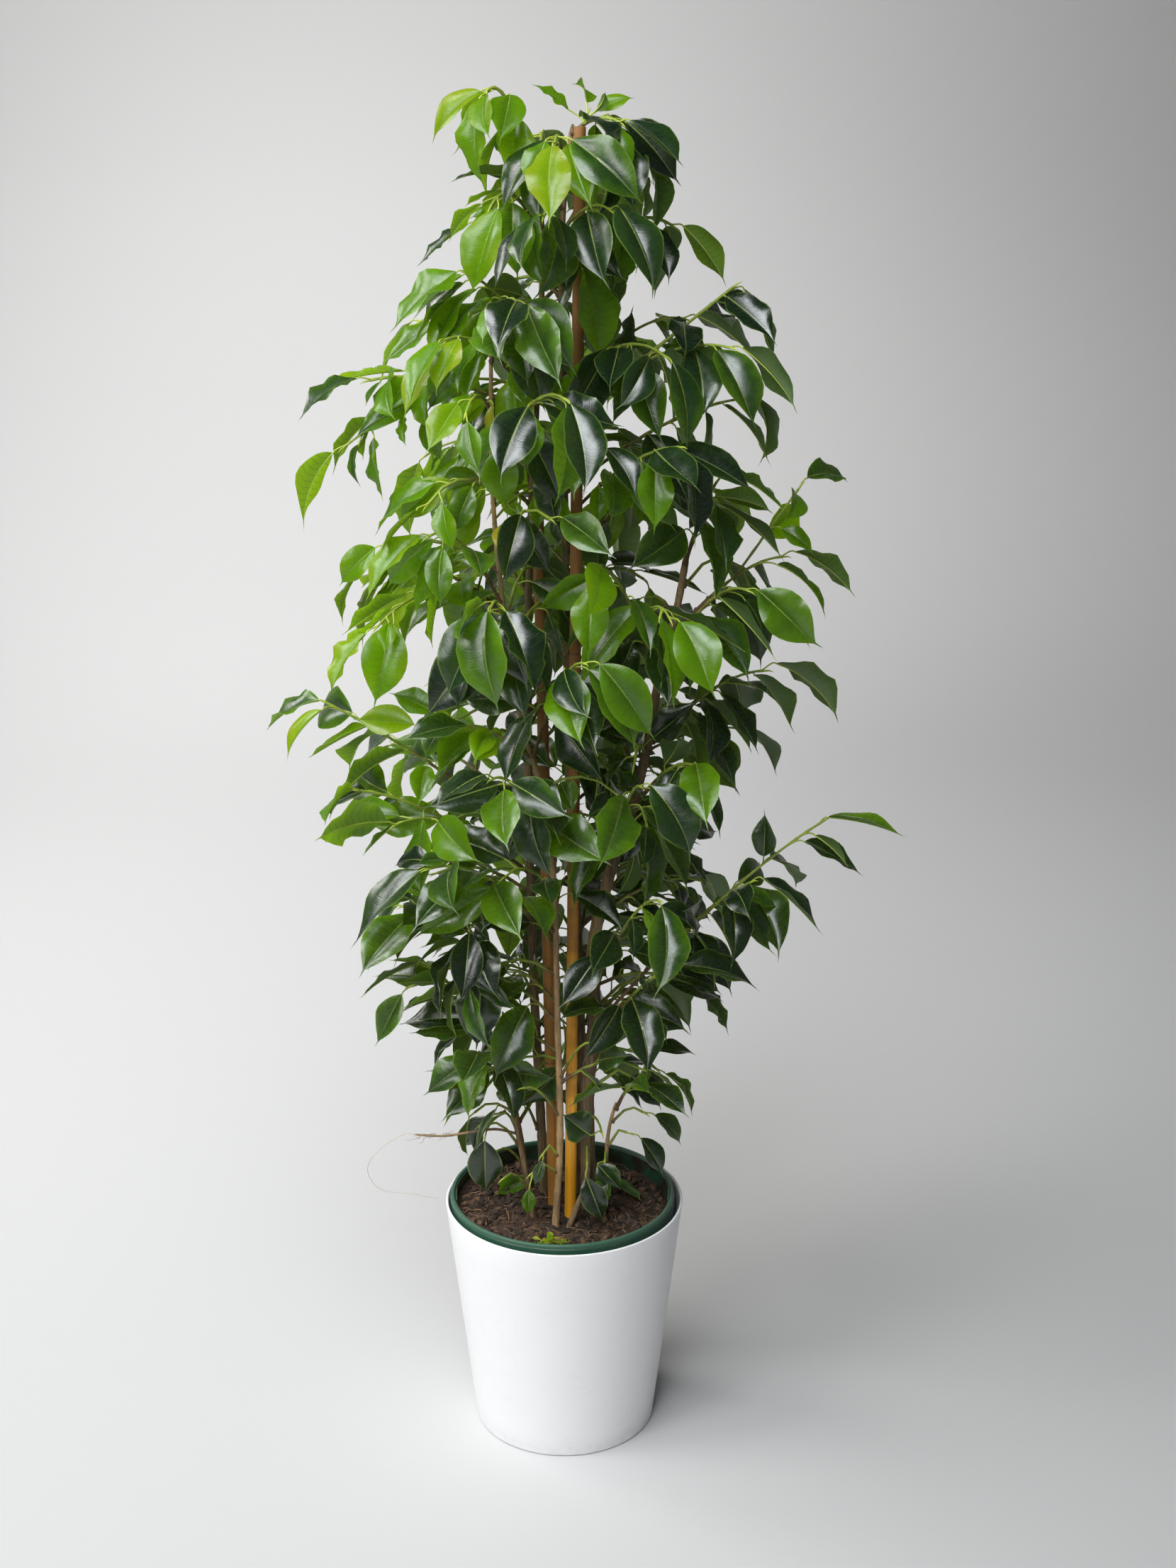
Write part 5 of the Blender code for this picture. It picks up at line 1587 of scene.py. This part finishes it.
woodForm = {
    "sides": 20,
    "spacing": 0.005,
    "ripple": 0.07,              # unevenness of a stem's girth
    "furrow": 0.045,
    "scarsFrom": 0.05,           # where the first leaf scar is
    "scarSpacing": (0.018, 0.040),
    "scarHeight": 0.10,
    "scarSizes": (0.4, 1.3),
    "rootSides": 12,
    "rootSpacing": 0.004,
    "rootHairs": 9,
    "hairSteps": ((-0.004, 0.001), (-0.003, 0.003), (-0.004, 0.002)),        # in X, Y and Z
    "rootThread": ((-0.180, -0.045, 0.376), (-0.206, -0.050, 0.359), (-0.218, -0.052, 0.337),
                   (-0.204, -0.054, 0.314), (-0.168, -0.056, 0.309), (-0.140, -0.052, 0.301)),
    "light": ("stem_front", "stem_low_right"),       # the stems with light bark
    "caneSides": 24,
    "caneEvery": 0.012,
    "caneRidge": 0.0005,
    "caneGroove": 0.0004,
    "caneWobble": 0.012,
    "caneHollow": 0.55,          # share of the radius
}


def scarRing(along, scars):
    # How much a leaf scar swells the stem at a distance along it.
    swell = 0.0
    for at, size in scars:
        away = abs(along - at)
        if away < 0.008:
            swell += size * (math.exp(-(away / 0.0016) ** 2) + 0.35 * math.exp(-(away / 0.004) ** 2))
    return swell


def addStem(form, route, start, end, draw, sides):
    # A woody stem: uneven girth, furrows, and a ring of each old leaf scar.
    lengths = [0.0]
    for a, b in zip(route, route[1:]):
        lengths.append(lengths[-1] + (b - a).length)
    scars = []
    at = woodForm["scarsFrom"]
    while at < lengths[-1]:
        scars.append((at, woodForm["scarHeight"] * draw.uniform(*woodForm["scarSizes"])))
        at += draw.uniform(*woodForm["scarSpacing"])
    shift = drawVector(draw, 0, 50)
    swells = [scarRing(along, scars) for along in lengths]

    def relief(i, angle):
        around = Vector((math.cos(angle), math.sin(angle), 0))
        broad = noise.noise(shift + around * 0.9 + up * lengths[i] * 28)
        fine = noise.noise(shift + around * 3.2 + up * lengths[i] * 60)
        return woodForm["ripple"] * broad + woodForm["furrow"] * fine + swells[i]

    radii = taper(route, start, end)
    radii[-1] *= 0.45
    radii[-2] *= 0.80
    form.addTube(route, radii, sides, 0, plain, relief)


def finePieceName(node):
    # stem_low_left becomes stemLowLeft.
    first, *rest = node.split("_")
    return first + "".join(word.capitalize() for word in rest)


def stemPiece(name, finish):
    form = Form()
    draw = random.Random("wood " + name)
    start, end, _, _ = stemTable[name]
    addStem(form, stemRoute(name, woodForm["spacing"]), start, end, draw, woodForm["sides"])
    if name in rootTable:
        rootStart, rootEnd, points = rootTable[name]
        root = smoothRoute(points, woodForm["rootSpacing"])
        addStem(form, root, rootStart, rootEnd, draw, woodForm["rootSides"])
    if name == "stem_low_left":
        addRootHairs(form, points, draw)
    form.make(finePieceName(name), [finish], [name])


def addRootHairs(form, points, draw):
    # Fine hairs that hang from the dry root's far half, and its thread of a tip that loops back to the rim.
    thread = smoothRoute([points[-1], *woodForm["rootThread"]], woodForm["rootSpacing"])
    form.addTube(thread, taper(thread, 0.00042, 0.00018), 4, 0, (0.0, 1.0, 0.0))
    for _ in range(woodForm["rootHairs"]):
        route = [Vector(points[-1]).lerp(Vector(points[-3]), draw.random())]
        for _ in range(6):
            step = [draw.uniform(*reach) for reach in woodForm["hairSteps"]]
            route.append(route[-1] + Vector(step))
        form.addTube(route, taper(route, 0.00030, 0.00012), 4)


def canePiece(name, finish):
    # A cane: raised joints with a groove above each, and a cut hollow top.
    start, end, _, _ = stemTable[name]
    low, high = caneEnds(name)
    length = (high - low).length
    direction = (high - low).normalized()
    every, spacing = woodForm["caneEvery"], stemForm["caneJointSpacing"]
    joints = [k * spacing for k in range(1, math.ceil(length / spacing))]
    places = [k * every for k in range(int(length / every))] + [length]
    places += [joint + 0.001 * step for joint in joints for step in range(-6, 9)]
    route = []
    radii = []
    marks = []
    for place in sorted(set(round(place, 5) for place in places if 0 <= place <= length)):
        ridge = sum(math.exp(-((place - joint) / 0.0022) ** 2) for joint in joints)
        groove = sum(math.exp(-((place - joint - 0.0045) / 0.0011) ** 2) for joint in joints)
        route.append(low + place * direction)
        radii.append(start + (end - start) * place / length + woodForm["caneRidge"] * ridge
                     - woodForm["caneGroove"] * groove)
        marks.append((min(1.0, groove + 0.25 * ridge), 0.0, 0.0))
    rim = radii[-1]
    hollow = woodForm["caneHollow"]
    for share, drop, stained in ((0.93, -0.0006, 0.2), (hollow, 0.0, 0.2), (0.95 * hollow, 0.014, 1.0)):
        route.append(high - (drop - 0.0004) * direction)
        radii.append(rim * share)
        marks.append((stained, 0.0, 0.0))

    def relief(i, angle):
        return woodForm["caneWobble"] * noise.noise(Vector((*turned(1, angle), route[i].z * 9)))

    # Every ring faces along the cane, also where its top turns inwards.
    across = (sideways - sideways.dot(direction) * direction).normalized()
    frames = [(across, direction.cross(across))] * len(route)
    form = Form()
    form.addTube(route, radii, woodForm["caneSides"], 0, marks, relief, frames)
    form.make(finePieceName(name), [finish], [name])


bark = barkMaterial("figBark", 0.18)
lightBark = barkMaterial("figBarkLight", 0.72)
canePiece("cane_front", caneMaterial("caneYellow", 1.0))
canePiece("cane_left", caneMaterial("caneBrown", 0.25))
for name in stemTable:
    if name.startswith("stem"):
        stemPiece(name, lightBark if name in woodForm["light"] else bark)
print("stems and canes")


# Leafy sprays

bladeForm = {
    "stations": 17,
    "columns": (-1.0, -0.70, -0.38, -0.09, 0.0, 0.09, 0.38, 0.70, 1.0),
    "bodyEnd": 0.865,            # where the blade runs out into its drip tip
    "baseFullness": 0.80,        # below 1 is rounder
    "endFullness": 0.93,
    "tipWidth": 0.075,
    "bulge": 0.10,               # each half is slightly domed
    "ripple": 0.14,              # waves of the margin
    "twist": 0.85,               # radians from base to tip
    "roll": 0.30,                # radians that the whole blade is turned about its midrib
    "sway": 0.13,                # how far the tip bends to one side, as a share of the length
    "ribRadius": 0.00075,
    "ribSink": 0.0008,
    "ribEnd": 0.93,
    "ribSteps": 9,
    "grooveDepth": 0.0004,
    "sharpAngle": 70,
}
stalkForm = {
    "radius": 0.00085,
    "flare": 0.0006,             # where it leaves its twig
    "handles": 0.40,             # of its curve, as a share of its length
    "steps": 7,
    "sides": 6,
}
twigForm = {
    "spacing": 0.006,
    "sides": 8,
    "swell": 0.35,               # at each leaf
    "rootFlare": 0.55,
    "budLength": 0.011,
    "budRadius": 0.0011,
    # Along the bud, up to its bend and from there, as shares of its length; then its width
    "bud": ((0.18, 0.0, 1.0), (0.5, 0.0, 0.75), (0.5, 0.3, 0.35), (0.5, 0.5, 0.05)),
}


def bladeOutline(share):
    # Half width as a share of the widest: a round base, widest near 0.42, then a narrow drip tip.
    fullness = bladeForm["endFullness" if share > 0.5 * bladeForm["bodyEnd"] else "baseFullness"]
    body = max(0.0, math.sin(math.pi * min(1.0, share / bladeForm["bodyEnd"]) ** 0.93)) ** fullness
    tip = bladeForm["tipWidth"] * min(1.0, share / 0.06) * (1 - share) / 0.2
    return (body ** 3 + max(0.0, tip) ** 3) ** (1 / 3) if share > 0.5 else max(body, 0.04)


def swayedMidrib(leaf, share):
    # The midrib of the solids, bent gently to one side.
    place, face = midrib(leaf, share)
    return place + leaf["sway"] * leaf["length"] * share * share * leaf["across"], face


def addBlade(form, leaf, draw):
    # The blade: a thin folded sheet with a grooved midrib, domed halves and a waved margin.
    stations = bladeForm["stations"]
    columns = bladeForm["columns"]
    count = len(columns)
    waves = draw.uniform(1.6, 3.4)
    phases = (draw.uniform(0, 6.28), draw.uniform(0, 6.28))
    ripple = bladeForm["ripple"] * draw.uniform(0.3, 1.5)
    twist = bladeForm["twist"] * draw.uniform(-1, 1)
    roll = bladeForm["roll"] * draw.uniform(-1, 1)
    points = []
    marks = []
    flat = []
    for i in range(stations + 1):
        share = 0.5 - 0.5 * math.cos(math.pi * i / stations)
        place, face = swayedMidrib(leaf, share)
        along = (leaf["across"].cross(-face)).normalized()
        turn = Matrix.Rotation(roll + twist * share, 3, along)
        across, rise = turn @ leaf["across"], turn @ face
        outline = bladeOutline(share)
        reach = leaf["width"] / 2 * outline
        for u in columns:
            side = abs(u)
            lift = reach * side * math.sin(leaf["fold"])
            lift += bladeForm["bulge"] * reach * math.sin(math.pi * side)
            phase = phases[0] if u < 0 else phases[1]
            lift += ripple * reach * side ** 2 * math.sin(2 * math.pi * waves * share + phase)
            lift -= bladeForm["grooveDepth"] * (1 - share) if u == 0 else 0.0
            points.append(place + u * reach * math.cos(leaf["fold"]) * across + lift * rise)
            marks.append((side, leaf["tone"], leaf["draw"]))
            flat.append((0.5 + 0.5 * u * outline, share))
    starts = [i * count + k for i in range(stations) for k in range(count - 1)]
    form.add(points, [(a, a + 1, a + count + 1, a + count) for a in starts], 0, marks, flat)


def addLeaf(form, leaf, root, leaving, draw):
    # The stalk, which runs on under the blade as its midrib, and the blade.
    span = (leaf["base"] - root).length
    first = root + stalkForm["handles"] * span * leaving
    second = leaf["base"] - stalkForm["handles"] * span * leaf["run"]
    route = []
    radii = []
    for i in range(stalkForm["steps"]):
        t = i / stalkForm["steps"]
        route.append(curvePoint(root, first, second, leaf["base"], t))
        radii.append(stalkForm["radius"] + stalkForm["flare"] * math.exp(-(t / 0.12) ** 2))
    for i in range(bladeForm["ribSteps"]):
        share = bladeForm["ribEnd"] * i / (bladeForm["ribSteps"] - 1)
        place, face = swayedMidrib(leaf, share)
        route.append(place - bladeForm["ribSink"] * (1 - 0.7 * share) * face)
        radii.append(bladeForm["ribRadius"] * (1 - 0.85 * share))
    form.addTube(route, radii, stalkForm["sides"], 1, (0.0, 0.55 + 0.4 * leaf["tone"], 0.0))
    addBlade(form, leaf, draw)


def addTwig(form, shoot, route, shares):
    # A twig, flared where it leaves its stem, swollen at each leaf, with a slender bud at its tip.
    grown = bool(shoot["stem"])
    first = (route[1] - route[0]).normalized()
    route = [route[0] - 0.0035 * first, route[0] - 0.0015 * first] + route
    start = shootForm["rootRadius" if grown else "tipRadius"]
    end = shootForm["tipRadius"] * (1 if grown else shootForm["sideTaper"])
    radii = []
    marks = []
    for i, r in enumerate(taper(route, start, 0.85 * end)):
        share = i / (len(route) - 1)
        flare = twigForm["rootFlare"] * math.exp(-(share * len(route) / 1.6) ** 2)
        swell = sum(math.exp(-((share - at) * len(route) / 0.7) ** 2) for at in shares)
        radii.append(r * (1 + flare + twigForm["swell"] * min(1.0, swell)))
        marks.append((0.0, 0.25, max(0.0, 1.0 - share * 1.25) if grown else max(0.0, 0.55 - share * 0.7)))
    form.addTube(route, radii, twigForm["sides"], 1, marks)
    tip = route[-1]
    along = (route[-1] - route[-2]).normalized()
    bend = (along - 0.35 * up).normalized()
    length = twigForm["budLength"]
    bud = [tip - 0.001 * along]
    widths = [0.8 * twigForm["budRadius"]]
    for straight, bent, width in twigForm["bud"]:
        bud.append(tip + straight * length * along + bent * length * bend)
        widths.append(twigForm["budRadius"] * width)
    form.addTube(bud, widths, 7, 1, (0.0, 1.0, 0.0))


toneForm = {
    "brightest": 0.76,
    "sunny": (0.20, 0.75),       # painted light: how much brighter the leaves at the left are, and from which height
    "paintedLightSide": (0.06, 0.20),   # from this X to the left, over this far
    # How much tone changes with height, from the first one on to the second: painted shade on the leaves at
    # the foot, under the crown, and darker leaves towards the top
    "heights": ((-0.13, 0.84, 0.58), (-0.07, 1.05, 1.20)),
    "yellow": 1.30,
    "yellowPlaces": ((-0.058, -0.120, 1.042), (-0.125, -0.100, 1.009), (-0.031, -0.120, 1.181)),
}


def setTones(leaves):
    # Painted light on the leaves at the left, painted shade on those at the foot, darker leaves at the top,
    # and the few old yellow ones.
    lift, start = toneForm["sunny"]
    right, over = toneForm["paintedLightSide"]
    for leaf in leaves:
        place = leaf["base"]
        # Painted light: brighter leaves at the left, above the start height
        if place.z > start:
            leaf["tone"] += lift * min(1.0, max(0.0, right - place.x) / over)
        # Painted shade on the leaves at the foot; darker leaves towards the top
        for change, near, far in toneForm["heights"]:
            leaf["tone"] += change * min(1.0, max(0.0, (place.z - near) / (far - near)))
        leaf["tone"] = min(leaf["tone"], toneForm["brightest"])
    for place in toneForm["yellowPlaces"]:
        nearest = min(leaves, key=lambda leaf: (midrib(leaf, 0.5)[0] - Vector(place)).length)
        nearest["tone"] = toneForm["yellow"]


plant = Plant()
placeShoots(plant)
placeLeaves(plant)
print("leaves of the solids: %d" % len(plant.leaves))
outer = len(plant.shoots)
placeLowTwigs(plant)
placeInnerLeaves(plant, outer, (0.95, 1.05), (0.9, 1.1))
placeExtraLeaves(plant, outer)
print("with those between them: %d" % len(plant.leaves))
withTwigs = len(plant.shoots)
placeInnerShoots(plant)
placeInnerLeaves(plant, withTwigs, (0.75, 1.15), (0.3, 1.4))
setTones(plant.leaves)
print("leaves in all: %d, on %d shoots" % (len(plant.leaves), len(plant.shoots)))
leafFinishes = [leafMaterial(), twigMaterial()]


def fineRoutes():
    # The shoots' arches again, read closely; a side shoot starts on its parent's fine route.
    routes = []
    firsts = {}
    for (name, stem, at, tip, lift, *_), shoot in zip(shootTable, plant.shoots):
        root = shoot["route"][0] if stem else pointAlong(firsts[name], at)[0]
        routes.append(archRoute(root, Vector(tip), lift, twigForm["spacing"]))
        firsts.setdefault(name, routes[-1])
    return routes + [shoot["route"] for shoot in plant.shoots[outer:]]


def sprayPiece(spray, routes):
    form = Form()
    draw = random.Random("blades " + spray)
    for index, shoot in enumerate(plant.shoots):
        if shoot["spray"] != spray:
            continue
        own = [leaf for leaf in plant.leaves if leaf["shoot"] == index]
        addTwig(form, shoot, routes[index], [leaf["share"] for leaf in own])
        for leaf in own:
            leaf["draw"] = draw.random()
            leaf["sway"] = bladeForm["sway"] * draw.uniform(-1, 1)
            root, along = pointAlong(routes[index], leaf["share"])
            leaving = ((leaf["base"] - root).normalized() + 0.5 * along).normalized()
            addLeaf(form, leaf, root, leaving, draw)
    replaced = ["spray_" + spray] if "spray_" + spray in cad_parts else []
    form.make(finePieceName("leaves_" + spray), leafFinishes, replaced, bladeForm["sharpAngle"])


routes = fineRoutes()
for spray in dict.fromkeys(shoot["spray"] for shoot in plant.shoots):
    sprayPiece(spray, routes)
print("sprays")


# Small growth and fallen leaves on the soil

groundForm = {
    "seedlings": ((-0.014, -0.100, 0.020), (-0.004, -0.103, 0.016), (-0.024, -0.096, 0.012)),
    "seedlingRadii": (0.0006, 0.0005, 0.0004),
    "seedlingLeaves": 5,
    "seedlingLeaf": 0.013,
    "seedlingTone": 1.05,
    # place on the soil, heading, length, lean, tone
    "fallen": (
        (-0.040, 0.060, 4.0, 0.062, 0.06, 0.20), (0.052, 0.050, 5.4, 0.062, 0.06, 0.15),
        (0.046, 0.086, 3.5, 0.060, 0.08, 1.25)),
    "fallenArch": 0.16,
    "fallenLift": 0.0035,                    # above the highest soil under a fallen leaf
    "fallenStalk": 0.014,
}


def looseLeaf(root, base, run, face, length, width, tone, arch, fold, curl, chance):
    # A leaf that is on no shoot.
    return {
        "root": root, "base": base, "run": run, "face": face, "across": run.cross(face), "length": length,
        "width": width, "tone": tone, "arch": arch, "fold": fold, "curl": curl, "draw": chance, "sway": 0.0}


def plainLeaf(base, heading, length, lean, tone, draw):
    # A leaf that lies or leans by itself; heading is its compass direction.
    run = Vector((math.cos(heading) * math.cos(lean), math.sin(heading) * math.cos(lean), math.sin(lean)))
    face = (up - up.dot(run) * run).normalized()
    return looseLeaf(base, base, run, face, length, leafForm["widthShare"] * length, tone,
                     draw.uniform(0.3, 0.7), draw.uniform(0.1, 0.35), draw.uniform(-1, 1), draw.random())


lowLeaves = (
    # Leaves over the soil in front: where each leaves its twig, its base, tip and width, and its tone
    ((-0.084, -0.046, 0.390), (-0.087, -0.058, 0.376), (-0.087, -0.066, 0.306), 0.040, -0.05),
    ((-0.086, -0.044, 0.390), (-0.094, -0.045, 0.386), (-0.100, -0.052, 0.356), 0.016, 0.05),
    ((-0.034, -0.064, 0.340), (-0.038, -0.070, 0.322), (-0.040, -0.076, 0.290), 0.016, 0.60),
    ((-0.022, -0.064, 0.364), (-0.023, -0.066, 0.356), (-0.034, -0.074, 0.324), 0.014, 0.30),
    ((0.026, -0.064, 0.354), (0.025, -0.072, 0.338), (0.046, -0.086, 0.284), 0.030, 0.00),
    ((0.046, -0.040, 0.344), (0.038, -0.046, 0.340), (0.066, -0.058, 0.312), 0.030, 0.15),
    ((0.046, -0.040, 0.344), (0.050, -0.050, 0.324), (0.022, -0.062, 0.288), 0.026, 0.40),
    ((0.042, -0.072, 0.394), (0.028, -0.086, 0.398), (0.000, -0.100, 0.428), 0.038, 0.15),
)


def lowLeafPieces():
    draw = random.Random("low leaves")
    form = Form()
    for root, base, tip, width, tone in lowLeaves:
        run = Vector(tip) - Vector(base)
        face = Vector((0, -1, 0.35))
        face = (face - face.project(run)).normalized()
        leaf = looseLeaf(Vector(root), Vector(base), run.normalized(), face, run.length, width, tone,
                         0.35, 0.15, draw.uniform(-1, 1), 0.5)
        addLeaf(form, leaf, leaf["root"], leaf["run"], draw)
    form.make("lowLeaves", leafFinishes, sharpAngle=bladeForm["sharpAngle"])


def seedlings(draw):
    form = Form()
    for x, y, height in groundForm["seedlings"]:
        foot = Vector((x, y, soilHeight(x, y) - 0.002))
        top = foot + Vector((draw.uniform(-0.003, 0.003), draw.uniform(-0.003, 0.003), height))
        middle = foot.lerp(top, 0.5) + 0.001 * sideways
        form.addTube([foot, middle, top], groundForm["seedlingRadii"], 6, 1, (0.0, 0.9, 0.0))
        heading = draw.uniform(0, 6.28)
        for k in range(groundForm["seedlingLeaves"]):
            leaf = plainLeaf(foot.lerp(top, 0.55 + 0.11 * k), heading + 2.2 * k, groundForm["seedlingLeaf"],
                             draw.uniform(0.0, 0.5), groundForm["seedlingTone"], draw)
            addBlade(form, leaf, draw)
    form.make("seedlings", leafFinishes, sharpAngle=bladeForm["sharpAngle"])


def fallenLeaves(draw):
    form = Form()
    for x, y, heading, length, lean, tone in groundForm["fallen"]:
        leaf = plainLeaf(Vector((x, y, 0.0)), heading, length, lean, tone, draw)
        leaf["arch"] = groundForm["fallenArch"]
        base = leaf["base"].copy()
        for along in range(-1, 6):
            for aside in (-0.5, 0.0, 0.5):
                under = base + 0.2 * along * length * leaf["run"] + aside * leaf["width"] * leaf["across"]
                needed = soilHeight(under.x, under.y) + groundForm["fallenLift"] - under.z
                leaf["base"].z = max(leaf["base"].z, needed)
        root = leaf["base"] - groundForm["fallenStalk"] * leaf["run"]
        addLeaf(form, leaf, root, leaf["run"], draw)
    form.make("fallenLeaves", leafFinishes, sharpAngle=bladeForm["sharpAngle"])


lowLeafPieces()
ground = random.Random("ground")
seedlings(ground)
fallenLeaves(ground)
print("growth over and on the soil")
